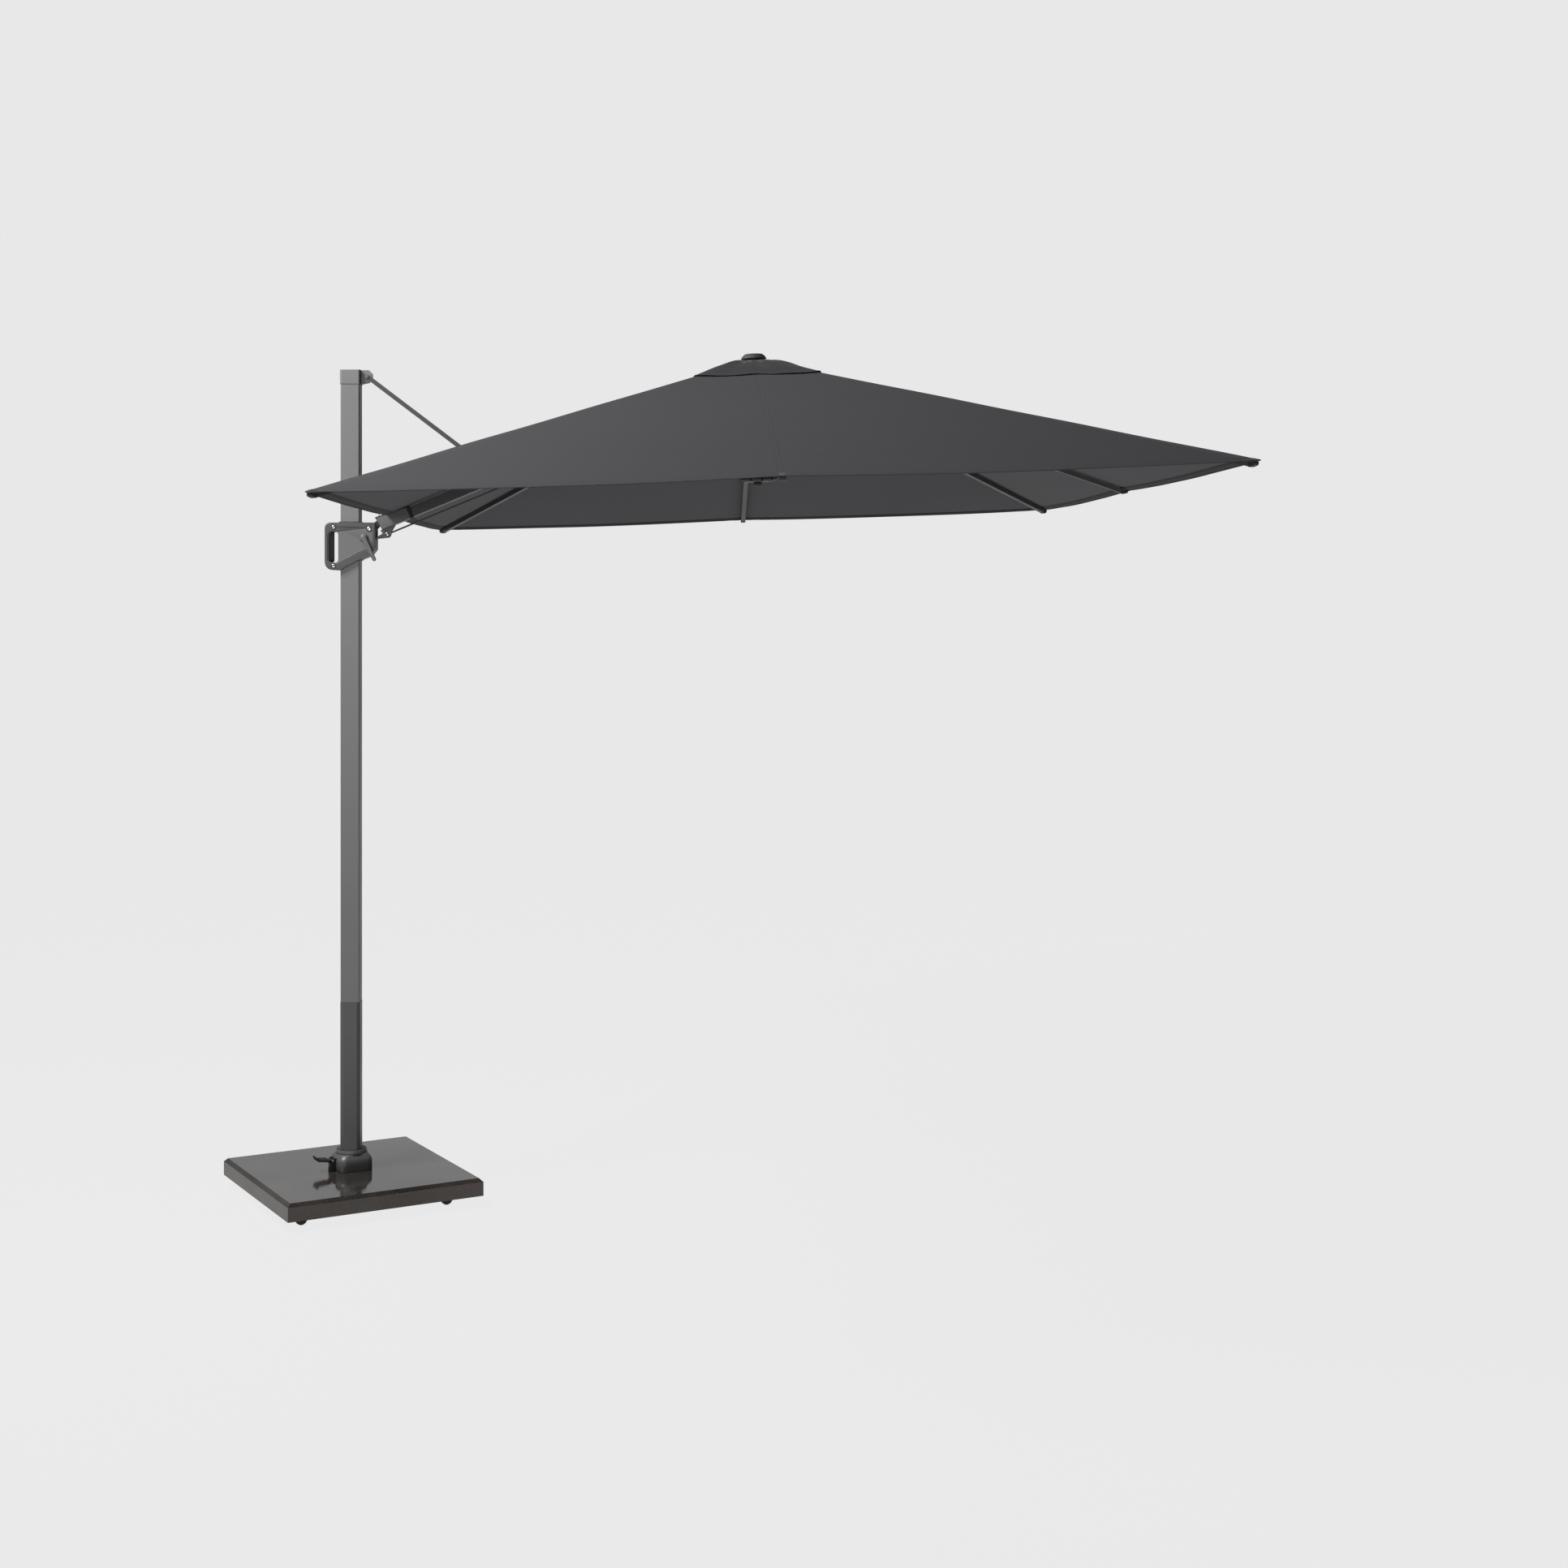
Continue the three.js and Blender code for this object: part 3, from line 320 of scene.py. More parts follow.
# ---------- mesh helpers ----------
def link(o, body, *materials, smooth=True):
    bpy.context.scene.collection.objects.link(o)
    for m in materials:
        o.data.materials.append(m)
    if smooth and o.type == "MESH":
        for p in o.data.polygons:
            p.use_smooth = True
    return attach(o, body)


def mesh_object(name, verts, faces):
    me = bpy.data.meshes.new(name)
    me.from_pydata([tuple(map(float, v)) for v in verts], [], faces)
    me.update()
    return bpy.data.objects.new(name, me)


def canopy_point(u, v, w):
    """A point of the canopy's own frame in the row frame."""
    c, s = math.cos(CANOPY_TILT), math.sin(CANOPY_TILT)
    return CANOPY_AT + Vector((u * c - w * s, v, u * s + w * c))


def sharp_by_angle(me, degrees=38):
    bm = bmesh.new()
    bm.from_mesh(me)
    for e in bm.edges:
        e.smooth = not (len(e.link_faces) == 2 and e.calc_face_angle(0) > math.radians(degrees))
    bm.to_mesh(me)
    bm.free()


def rounded_points(points, steps=7):
    """A closed polygon given as (x, z, radius), with each corner turned into an arc."""
    out, n = [], len(points)
    for i, (x, z, r) in enumerate(points):
        p = Vector((points[i - 1][0] - x, points[i - 1][1] - z)).normalized()
        q = Vector((points[(i + 1) % n][0] - x, points[(i + 1) % n][1] - z)).normalized()
        if r <= 0:
            out.append((x, z))
            continue
        half = math.acos(max(-1, min(1, p.dot(q)))) / 2
        back, centre = r / math.tan(half), Vector((x, z)) + (p + q).normalized() * (r / math.sin(half))
        a, b = Vector((x, z)) + p * back - centre, Vector((x, z)) + q * back - centre
        turn = a.angle_signed(b)
        for k in range(steps + 1):
            t = -turn * k / steps
            c, s = math.cos(t), math.sin(t)
            out.append((centre.x + a.x * c - a.y * s, centre.y + a.x * s + a.y * c))
    return out


def slab_of(name, loops, y0, y1, bevel, body, mat, segments=3, move=None):
    """A plate between two depths, drawn in x and z as closed loops, outer loop first, with rolled edges."""
    curve = bpy.data.curves.new(name, "CURVE")
    curve.dimensions, curve.fill_mode = "2D", "BOTH"
    curve.extrude, curve.bevel_depth, curve.bevel_resolution = abs(y1 - y0) / 2 - bevel, bevel, segments
    curve.offset = -bevel
    for loop in loops:
        s = curve.splines.new("POLY")
        s.points.add(len(loop) - 1)
        for p, (x, z) in zip(s.points, loop):
            p.co = (x, z, 0, 1)
        s.use_cyclic_u = True
    tmp = bpy.data.objects.new(name + "_curve", curve)
    bpy.context.scene.collection.objects.link(tmp)
    bpy.context.view_layer.update()
    me = bpy.data.meshes.new_from_object(tmp.evaluated_get(bpy.context.evaluated_depsgraph_get()))
    bpy.data.objects.remove(tmp)
    me.transform(Matrix.Translation((0, (y0 + y1) / 2, 0)) @ Matrix.Rotation(math.pi / 2, 4, "X"))
    if move is not None:
        me.transform(move)
    bm = bmesh.new()
    bm.from_mesh(me)
    bmesh.ops.remove_doubles(bm, verts=bm.verts, dist=1e-6)
    bmesh.ops.recalc_face_normals(bm, faces=bm.faces)
    bm.to_mesh(me)
    bm.free()
    sharp_by_angle(me, 40)
    o = bpy.data.objects.new(name, me)
    me.materials.clear()
    return link(o, body, mat)


def lathe(name, profile, place, body, mat, sides=48):
    """A turned piece: profile of (radius, height), placed by a matrix."""
    verts, faces = [], []
    for i in range(sides):
        a = 2 * math.pi * i / sides
        verts += [(r * math.cos(a), r * math.sin(a), h) for r, h in profile]
    n = len(profile)
    for i in range(sides):
        for k in range(n - 1):
            a, b = i * n + k, ((i + 1) % sides) * n + k
            faces.append((a, b, b + 1, a + 1))
    o = mesh_object(name, verts, faces)
    bm = bmesh.new()
    bm.from_mesh(o.data)
    bmesh.ops.remove_doubles(bm, verts=bm.verts, dist=1e-6)
    bmesh.ops.recalc_face_normals(bm, faces=bm.faces)
    bm.to_mesh(o.data)
    bm.free()
    o.data.transform(place)
    sharp_by_angle(o.data, 40)
    return link(o, body, mat)


# ---------- canopy cloth ----------
SUPPORTS = [  # tag, foot of the support on the canopy's edge, and the body its cloth rides on
    ("end", (1, 0), "rib_end_body"), ("far_outer", (1, 1), "rib_far_outer_body"),
    ("far_side", (0, 1), "rib_far_side_body"), ("far_inner", (-1, 1), "rib_far_inner_body"),
    ("arm", (-1, 0), "arm_body"), ("near_inner", (-1, -1), "rib_near_inner_body"),
    ("near_side", (0, -1), "rib_near_side_body"), ("near_outer", (1, -1), "rib_near_outer_body"),
]
OPENING = 0.115  # the canopy's top opening, as a share of its half sizes
SLIT_HALF = 0.027


def sag(t, a):
    """How far taut cloth hangs between two ribs, a from 0 to 1 across."""
    return 0.010 * 4 * a * (1 - a) * t ** 1.4


def cloth_height(u, v, t, a):
    tight = PEAK * (1 - t) - sag(t, a)
    pull = noise.noise(Vector((u * 2.3, v * 2.3, 0.7))) * 0.0016 * t
    near_rib = math.exp(-((a if a < 0.5 else 1 - a) * t / 0.05) ** 2)
    pucker = 0.0009 * near_rib * math.sin((abs(u) + abs(v)) * 95) * t
    return tight + pull + pucker


# how far the arm's end lies behind the canopy's middle, and the slit's reach either way from the stay's foot
ARM_END_BACK, SLIT_IN, SLIT_OUT = 0.1243, 0.028, 0.073


def gore(index, t0, t1, steps_t, steps_s, height, name, mat, scallop=0.004, arm_slit=False):
    """Cloth around one support, from the mid-line on one side to the mid-line on the other."""
    tag, foot, body = SUPPORTS[index]
    before, after = SUPPORTS[index - 1][1], SUPPORTS[(index + 1) % 8][1]
    verts, faces, hem, seam = [], [], [], []
    rows = [t0 + (t1 - t0) * i / steps_t for i in range(steps_t + 1)]
    slit = None
    if arm_slit:
        at = (STAY_ALONG - ARM_LONG) * math.cos(ARM_UP - CANOPY_TILT)
        foot_at = ARM_END_BACK - at
        slit = ((foot_at - SLIT_IN) / HALF_U, (foot_at + SLIT_OUT) / HALF_U)
        rows = sorted(rows + [slit[0], slit[1]])
    cols = list(np.linspace(-1, 1, 2 * steps_s + 1))
    for t in rows:
        for s in cols:
            other = before if s < 0 else after
            a = abs(s) / 2
            if slit:
                edge = SLIT_HALF / (0.5 * HALF_V * t)
                k = abs(s) * steps_s
                a = 0.5 * (min(k, 2) / 2 * edge if k <= 2 else edge + (k - 2) / (steps_s - 2) * (1 - edge))
            ratio = 2 * a
            reach = t * (1 - scallop * 4 * a * (1 - a) * (t / t1) ** 6)
            u = HALF_U * reach * (foot[0] * (1 - ratio / 2) + other[0] * ratio / 2)
            v = HALF_V * reach * (foot[1] * (1 - ratio / 2) + other[1] * ratio / 2)
            p = canopy_point(u, v, height(u, v, reach, a))
            verts.append(p)
            on_u = foot[0] and (other[0] == foot[0])
            side = HALF_U if on_u else HALF_V
            hem.append((v if on_u else u, (t1 - t) * side))
            length = math.hypot(HALF_U * foot[0], HALF_V * foot[1]) or 1
            off = abs(u * HALF_V * foot[1] - v * HALF_U * foot[0]) / length
            seam.append((t * length, off))
    w = len(cols)
    for i in range(len(rows) - 1):
        mid = (rows[i] + rows[i + 1]) / 2
        for j in range(w - 1):
            if slit and slit[0] < mid < slit[1] and abs(j + 0.5 - steps_s) < 2:
                continue
            q = i * w + j
            faces.append((q, q + w, q + w + 1, q + 1))
    o = mesh_object(name, verts, faces)
    for layer, values in (("hem", hem), ("seam", seam)):
        uv = o.data.uv_layers.new(name=layer)
        for loop in o.data.loops:
            uv.data[loop.index].uv = values[loop.vertex_index]
    bm = bmesh.new()
    bm.from_mesh(o.data)
    loose = [v for v in bm.verts if not v.link_faces]
    bmesh.ops.delete(bm, geom=loose, context="VERTS")
    bmesh.ops.recalc_face_normals(bm, faces=bm.faces)
    if sum(f.normal.z for f in bm.faces) < 0:
        bmesh.ops.reverse_faces(bm, faces=bm.faces)
    bm.to_mesh(o.data)
    bm.free()
    link(o, body, mat)
    return o, tag, foot, body


def cut_size(index, t0, t1):
    """The width, length and area that a gore is cut to, with no sag, slack or folds: the open canopy's two
    flat faces beside its support, opened out, from share t0 to share t1 of the way to the hem."""
    foot = SUPPORTS[index][1]
    down = Vector((HALF_U * foot[0], HALF_V * foot[1], -PEAK))
    width = area = 0
    near = down.length
    for other in (SUPPORTS[index - 1][1], SUPPORTS[(index + 1) % 8][1]):
        middle = Vector((HALF_U * (foot[0] + other[0]) / 2, HALF_V * (foot[1] + other[1]) / 2, -PEAK))
        twice = down.cross(middle).length
        width += t1 * twice / down.length
        area += (t1 ** 2 - t0 ** 2) * twice / 2
        near = min(near, middle.dot(down) / down.length)
    return round(width, 3), round(t1 * down.length - t0 * near, 3), area


def fold_axis(foot):
    """Across the support, level: the way its cloth gathers as the canopy closes."""
    d = Vector((HALF_U * foot[0], HALF_V * foot[1], 0)).normalized()
    return Vector((-d.y, d.x, 0))


def hem_strip(index, name):
    """The doubled hem along a gore's edge: a flat tube that the cloth is turned over."""
    tag, foot, body = SUPPORTS[index]
    pts = []
    for s in np.linspace(-1, 1, 49):
        other = SUPPORTS[index - 1][1] if s < 0 else SUPPORTS[(index + 1) % 8][1]
        ratio = abs(s)
        a = ratio / 2
        row = []
        for inset in (0.0, 0.014, 0.0265):
            t = 1 - inset / (HALF_U if abs(foot[0]) and foot[0] == other[0] else HALF_V)
            reach = t * (1 - 0.004 * 4 * a * (1 - a) * t ** 6)
            u = HALF_U * reach * (foot[0] * (1 - ratio / 2) + other[0] * ratio / 2)
            v = HALF_V * reach * (foot[1] * (1 - ratio / 2) + other[1] * ratio / 2)
            row.append((u, v, cloth_height(u, v, reach, a)))
        pts.append(row)
    verts, faces = [], []
    for (a, b, c) in pts:
        drop = 0.0022
        verts += [canopy_point(a[0], a[1], a[2] + 0.0004), canopy_point(a[0] * 1.0005, a[1] * 1.0005,
                                                                        a[2] - drop / 2),
                  canopy_point(a[0], a[1], a[2] - drop), canopy_point(b[0], b[1], b[2] - drop),
                  canopy_point(c[0], c[1], c[2] - drop * 0.7), canopy_point(c[0], c[1], c[2] - 0.0004)]
    for i in range(len(pts) - 1):
        for k in range(5):
            q = i * 6 + k
            faces.append((q, q + 1, q + 7, q + 6) if k < 2 else (q + 6, q + 7, q + 1, q))
    o = mesh_object(name, verts, faces)
    if fold_axis(foot).cross(Vector((0, 0, 1))).dot(Vector((foot[0], foot[1], 0))) > 0:
        o.data.flip_normals()
    for layer in ("hem", "seam"):
        uv = o.data.uv_layers.new(name=layer)
        for loop in o.data.loops:
            i, k = divmod(loop.vertex_index, 6)
            uv.data[loop.index].uv = (i * 0.02, 0.05)
    link(o, body, CLOTH)
    return o


for k in range(8):
    piece, tag, foot, body = gore(k, OPENING, 1.0, 44, 14, cloth_height, "canopy_" + SUPPORTS[k][0], CLOTH,
                                  arm_slit=SUPPORTS[k][0] == "arm")
    strip = hem_strip(k, "hem_" + tag)
    for o in (piece, strip):
        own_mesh(o)
    width, length, area = cut_size(k, OPENING, 1)
    if k == 0:
        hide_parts("canopy")


VENT_EDGE, VENT_CORE = 0.163, 0.066  # shares of the canopy's half sizes


def vent_height(u, v, t, a):
    """The vent flap: domed between its corners, a little slack, with radiating folds."""
    x = min(1, t / VENT_EDGE)
    bulge = math.sin(math.pi * min(1, max(0, (x - 0.14) / 0.80))) ** 0.8
    left = 0.5 - 0.5 * math.cos(math.atan2(v / HALF_V, u / HALF_U))
    dome = 0.0040 + 0.0130 * bulge * (0.7 + 1.2 * a * (1 - a)) * (1 - 0.45 * left * x)
    ang = math.atan2(v / HALF_V, u / HALF_U)
    near_top = math.exp(-((x - 0.42) / 0.26) ** 2)
    folds = (0.0034 * near_top + 0.0012) * math.sin(ang * 11 + 1.1)
    folds += 0.0018 * near_top * math.sin(ang * 19 + 0.4)
    slack = noise.noise(Vector((u * 9, v * 9, 2.2))) * 0.0035 * x
    flare = 0.0045 * max(0, x - 0.8) / 0.2 * math.exp(-((ang + 0.70) / 0.28) ** 2)
    return PEAK * (1 - t) + dome + folds * min(1, 6 * max(0, x - 0.2)) + slack + flare


for k in range(8):
    piece, tag, foot, body = gore(k, VENT_CORE, VENT_EDGE, 12, 8, vent_height, "vent_" + SUPPORTS[k][0],
                                  VENT_CLOTH,
                                  scallop=-0.05)
    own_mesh(piece)
    width, length, area = cut_size(k, VENT_CORE, VENT_EDGE)


def vent_crown():
    """The middle of the vent, clamped under the finial."""
    verts, faces = [], []
    rows, cols = [0.030, 0.042, 0.054, VENT_CORE + 0.0012], 64
    for t in rows:
        for j in range(cols):
            s = 8 * j / cols
            i, f = int(s) % 8, s - int(s)
            p, q = SUPPORTS[i][1], SUPPORTS[(i + 1) % 8][1]
            u, v = HALF_U * t * (p[0] * (1 - f) + q[0] * f), HALF_V * t * (p[1] * (1 - f) + q[1] * f)
            verts.append(canopy_point(u, v, vent_height(u, v, t, min(f, 1 - f)) + 0.0003))
    for i in range(len(rows) - 1):
        for j in range(cols):
            a, b = i * cols + j, i * cols + (j + 1) % cols
            faces.append((a, b, b + cols, a + cols))
    o = mesh_object("vent_crown", verts, faces)
    for layer in ("hem", "seam"):
        uv = o.data.uv_layers.new(name=layer)
        for loop in o.data.loops:
            uv.data[loop.index].uv = (loop.vertex_index * 0.003, 0.05)
    link(o, "hub", VENT_CLOTH)
    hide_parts("vent_flap")


vent_crown()

# ---------- the handle that rides on the mast ----------
CARRIAGE = [(-87, 2356, 22), (-87, 2190, 32), (-32, 2190, 26), (34, 2226, 30), (70, 2240, 16), (88, 2262, 14),
            (88, 2356, 7)]
PANEL = [(-76, 2326, 16), (-76, 2214, 16), (-48, 2214, 9), (24, 2252, 30), (78, 2272, 8), (78, 2336, 8),
         (44, 2334, 30),
         (-50, 2326, 12)]


def in_row(points):
    """Points of (x, z, radius) in millimetres from the mast's axis, in the row frame."""
    return rounded_points([((x / 1000 + MAST_X), z / 1000, r / 1000) for x, z, r in points])


def carriage_rim(name, side):
    """The raised border of one half shell. It fades out towards the arm, as the casting's skin thickens."""
    y = side * CARR_HALF
    o = slab_of(name, [in_row(CARRIAGE), in_row(PANEL)], y - side * 0.0035, y + side * 0.0021, 0.0018,
                "carriage", SHADED_RIM_PAINT, segments=4)
    for v in o.data.vertices:
        out = side * v.co.y - CARR_HALF
        x = v.co.x - MAST_X
        if out > -0.0005:
            k = min(1, max(0, (0.050 - x) / 0.045))
            if -0.073 < x < 0.076 and 2.2165 < v.co.z < 2.345:
                v.co.y = side * (CARR_HALF + out * (0.12 + 0.88 * k * k * (3 - 2 * k)))
    return o


def through_bolt(name, x, z, head, half, replaced=None):
    """Both round heads of a through bolt, each with a driven socket."""
    at = Matrix.Translation((MAST_X + x, 0, z))
    prof = [(0, half - 0.0012), (head * 0.42, half - 0.0010), (head * 0.46, half + 0.0014),
            (head * 0.62, half + 0.0021),
            (head * 0.86, half + 0.0018), (head, half + 0.0008), (head, half - 0.0004)]
    for k, side in enumerate((-1, 1)):
        turn = at @ Matrix.Rotation(side * -math.pi / 2, 4, "X")
        o = lathe(f"{name}_{'near' if side < 0 else 'far'}", prof, turn, "carriage", WHITE_STEEL, 24)
        lathe(f"{name}_seat_{'near' if side < 0 else 'far'}",
                     [(head * 0.98, half - 0.0004), (head * 1.02, half + 0.0006),
                      (head * 1.32, half + 0.0006),
                      (head * 1.42, half - 0.0004)], turn, "carriage", SOFT_BLACK, 24)
        if replaced and k == 0:
            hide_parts(replaced)


# Painted shade: the raised border is the shells' cast paint made darker, standing in for the shade it shows.
SHADED_RIM_PAINT = painted("handle_rim_shaded_paint", 72, metal=0.2, rough=0.46, grain=1300)
for side, word in ((-1, "near"), (1, "far")):
    carriage_rim("carriage_rim_" + word, side)
    soften("carriage_" + word, 0.0022)
through_bolt("grip_bolt_upper_head", -0.0557, 2.340, 0.0062, CARR_HALF + 0.0024, "grip_bolt_upper")
through_bolt("grip_bolt_lower_head", -0.0557, 2.205, 0.0062, CARR_HALF + 0.0024, "grip_bolt_lower")
through_bolt("arm_pivot_head", 0.0679, 2.334, 0.0072, CARR_HALF + 0.0008, "arm_pivot_bolt")


def clamp_lever():
    """A tapered lever with a soft cone where it turns, and a round end with a shallow dish."""
    c = Vector((0.0506, 2.301))
    tip, r0, r1 = c + Vector((0.0365, -0.0735)), 0.0095, 0.0066
    d = (tip - c).normalized()
    lean = math.asin((r0 - r1) / (tip - c).length)
    base = math.atan2(d.y, d.x)
    loop = []
    for k in range(15):
        a = base + math.pi / 2 - lean + (math.pi + 2 * lean) * k / 14
        loop.append((MAST_X + c.x + r0 * math.cos(a), c.y + r0 * math.sin(a)))
    for k in range(15):
        a = base - math.pi / 2 + lean + (math.pi - 2 * lean) * k / 14
        loop.append((MAST_X + tip.x + r1 * math.cos(a), tip.y + r1 * math.sin(a)))
    o = slab_of("lever_bar", [loop], -CARR_HALF - 0.0168, -CARR_HALF - 0.0078, 0.0032, "lever", CAST_PAINT, 5)
    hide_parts("clamp_lever")
    face = Matrix.Translation((MAST_X + c.x, -CARR_HALF, c.y)) @ Matrix.Rotation(math.pi / 2, 4, "X")
    lathe("lever_boss", [(0.0, 0.0125), (0.0085, 0.0120), (0.0105, 0.0095), (0.0125, 0.0045),
                         (0.0150, 0.0012),
                         (0.0155, 0.0004)], face, "lever", CAST_PAINT, 36)
    end = Matrix.Translation((MAST_X + tip.x, -CARR_HALF - 0.0166, tip.y)) @ Matrix.Rotation(math.pi / 2, 4,
                                                                                             "X")
    lathe("lever_end_ring", [(0.0, -0.0006), (0.0026, -0.0004), (0.0032, 0.0004), (0.0042, 0.0008),
                             (0.0050, 0.0003)],
          end, "lever", CAST_PAINT, 24)


clamp_lever()


def trigger():
    """The squeeze bar inside the grip, with a lighter strip down its middle."""
    bar = in_row([(-69, 2327, 3), (-69, 2219, 3), (-60, 2219, 3), (-60, 2327, 3)])
    o = slab_of("trigger_bar", [bar], -0.009, 0.009, 0.0012, "handle_trigger", SOFT_BLACK)
    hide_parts("trigger")
    strip = in_row([(-65.8, 2318, 1), (-65.8, 2228, 1), (-63.6, 2228, 1), (-63.6, 2318, 1)])
    slab_of("trigger_strip", [strip], -0.0096, 0.0096, 0.0004, "handle_trigger", CAST_PAINT, 2)


trigger()


# ---------- arm, socket and levelling rod ----------
def along_arm(points):
    """Points of (along, off, radius) in millimetres from the arm's pivot, as x and z of the row frame."""
    c, s = math.cos(ARM_UP), math.sin(ARM_UP)
    return rounded_points([(PIVOT.x + (a * c - b * s) / 1000, PIVOT.z + (a * s + b * c) / 1000, r / 1000)
                           for a, b, r in points])


def arm_socket():
    """The moulded socket round the arm's root: a deep tapered block, a neck to the pivot, a black collar."""
    block = slab_of("socket_block", [along_arm([(31, 29, 3), (38, -19, 4), (147, -19.5, 3), (149, 22, 3)])],
                    -0.0212, 0.0212, 0.0026, "arm_body", SOCKET_PLASTIC, 4)
    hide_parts("arm_socket")
    slab_of("socket_neck", [along_arm([(-12, 12, 11), (-12, -12, 11), (16, -12, 9), (40, 0, 3), (40, 20, 3),
                                       (14, 14, 12)])], -0.0135, 0.0135, 0.002, "arm_body", SOFT_BLACK)
    slab_of("socket_collar", [along_arm([(144, 23.5, 3), (144, -21, 3), (150, -22.5, 4), (157, -19, 4),
                                         (157, 21, 5), (152, 24, 4)])], -0.0228, 0.0228, 0.003, "arm_body",
            SOFT_BLACK, 4)
    slab_of("socket_lip", [along_arm([(31, 31, 1), (31, 27.6, 1), (146, 20.6, 1), (146, 24, 1)])],
            -0.0218, 0.0218, 0.0006, "arm_body", SOFT_BLACK, 2)


arm_socket()
# Painted highlight: a thin light grey strip along each side of the arm's lower edge, standing in for the
# light that edge catches.
ARM_EDGE_HIGHLIGHT = plastic("painted_edge_highlight", 168, rough=0.4, strength=0.1)
for side, word in ((-1, "near"), (1, "far")):
    slab_of("arm_edge_highlight_" + word, [along_arm([(158, -17.4, 0), (158, -19.3, 0), (1296, -19.3, 0),
                                                  (1296, -17.4, 0)])],
            side * 0.0148, side * 0.0156, 0.0003, "arm_body", ARM_EDGE_HIGHLIGHT, 2)


def rod_lug():
    """The lug under the socket that holds the levelling rod's lower pin."""
    a = PIVOT + ROD_STEP
    c, s = math.cos(ARM_UP), math.sin(ARM_UP)
    x0, z0 = (a.x - MAST_X) * 1000, a.z * 1000
    top = lambda x: 2334 + (x - 67.9) * s / c - 17.5 / c
    shape = [(x0 + 12, z0 - 11, 10), (x0 + 13, z0 + 6, 5), (x0 + 30, top(x0 + 30), 2),
             (x0 - 24, top(x0 - 24), 2),
             (x0 - 13, z0 - 2, 6), (x0 - 11, z0 - 11, 10)]
    for y0, y1, word in ((-0.0124, -0.0056, "near"), (0.0056, 0.0124, "far")):
        slab_of("rod_lug_" + word, [in_row(shape)], y0, y1, 0.0014, "carriage", SOCKET_PLASTIC, 3)


rod_lug()
through_bolt("rod_pivot_head", (PIVOT + ROD_STEP).x - MAST_X, (PIVOT + ROD_STEP).z, 0.0062, 0.0128,
             "rod_pivot_bolt")


# ---------- base ----------
BASE = Matrix.Translation((MAST_X, 0, 0)) @ Matrix.Rotation(SLAB_YAW, 4, "Z")


def mm(points):
    return rounded_points([(x / 1000, z / 1000, r / 1000) for x, z, r in points])


def square_loft(name, sections, body, mat, arc=10):
    """A skin over rounded squares of (half width, corner radius, height), about the mast's axis."""
    verts, faces = [], []
    for half, r, z in sections:
        for q in range(4):
            for k in range(arc + 1):
                a = math.pi / 2 * (q + k / arc)
                cx, cy = (half - r) * (1 if q in (0, 3) else -1), (half - r) * (1 if q in (0, 1) else -1)
                verts.append(BASE @ Vector((cx + r * math.cos(a), cy + r * math.sin(a), z)))
    n = 4 * (arc + 1)
    for i in range(len(sections) - 1):
        for j in range(n):
            faces.append((i * n + j, i * n + (j + 1) % n, (i + 1) * n + (j + 1) % n, (i + 1) * n + j))
    o = mesh_object(name, verts, faces)
    sharp_by_angle(o.data, 50)
    return link(o, body, mat)


def housing():
    """The mast's socket: a soft square block with a sloping shoulder, and the lock's block on one side."""
    o = square_loft("housing_body", [
        (0.0600, 0.0260, 0.0984), (0.0620, 0.0270, 0.1004), (0.0620, 0.0270, 0.1330), (0.0614, 0.0268,
                                                                                       0.1375),
        (0.0596, 0.0262, 0.1420), (0.0566, 0.0255, 0.1465), (0.0540, 0.0270, 0.1505), (0.0530, 0.0330,
                                                                                       0.1540),
        (0.0528, 0.0420, 0.1560), (0.0520, 0.0500, 0.1566), (0.0480, 0.0480,
                                                             0.1564)], "base", HOUSING_PLASTIC)
    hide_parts("socket_housing")
    for y0, y1, word in ((-0.017, -0.0122, "near"), (0.0122, 0.017, "far")):
        slab_of("lock_cheek_" + word, [mm([(-79, 98.4, 1), (-79, 142.3, 8), (-50, 142.3, 1),
                                           (-50, 98.4, 1)])],
                y0, y1, 0.0012, "base", BLACK_PLASTIC, 3, BASE)
    slab_of("lock_block", [mm([(-79, 98.4, 1), (-79, 125, 2), (-56, 125, 1), (-56, 98.4, 1)])],
            -0.0125, 0.0125, 0.001, "base", BLACK_PLASTIC, 3, BASE)
    hinge = BASE @ Matrix.Translation((-0.073, 0, 0.13435)) @ Matrix.Rotation(math.pi / 2, 4, "X")
    lathe("pedal_pin", [(0, -0.0182), (0.0035, -0.018), (0.0042, -0.0172), (0.003, -0.017), (0.003, 0.017),
                        (0.0042, 0.0172), (0.0035, 0.018), (0, 0.0182)], hinge, "base", STEEL, 20)


def pedal():
    """The foot pedal: a short web at its hinge, a turned-up plate and ribs across its tread."""
    hx, hz = -73.0, 134.35
    at = lambda pts: mm([(hx + x, hz + z, r) for x, z, r in pts])
    plate = slab_of("pedal_plate", [at([(-11.5, 5.5, 2), (-8.2, 0.5, 0), (-17, -1.5, 0), (-56, 4, 4),
                                        (-62, 17, 2),
                                        (-57, 19, 2), (-52, 9.5, 3)])], -0.023, 0.023, 0.0014, "pedal",
                    BLACK_PLASTIC, 3, BASE)
    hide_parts("foot_pedal")
    slab_of("pedal_web", [at([(-14, 4, 2), (5.2, 4, 3), (5.2, -5, 3), (-12, -5, 2)])], -0.0108, 0.0108, 0.001,
            "pedal", BLACK_PLASTIC, 3, BASE)
    for k in range(6):
        x = -17.0 - 6.2 * k
        z = 5.5 + (9.5 - 5.5) * (-11.5 - x) / 40.5
        slab_of(f"pedal_rib_{k}", [at([(x - 1.4, z - 1, 0), (x - 1.1, z + 1.7, 0.6), (x + 1.1, z + 1.5, 0.6),
                                       (x + 1.4, z - 1, 0)])],
                -0.0205, 0.0205, 0.0004, "pedal", BLACK_PLASTIC, 2, BASE)


housing()
pedal()


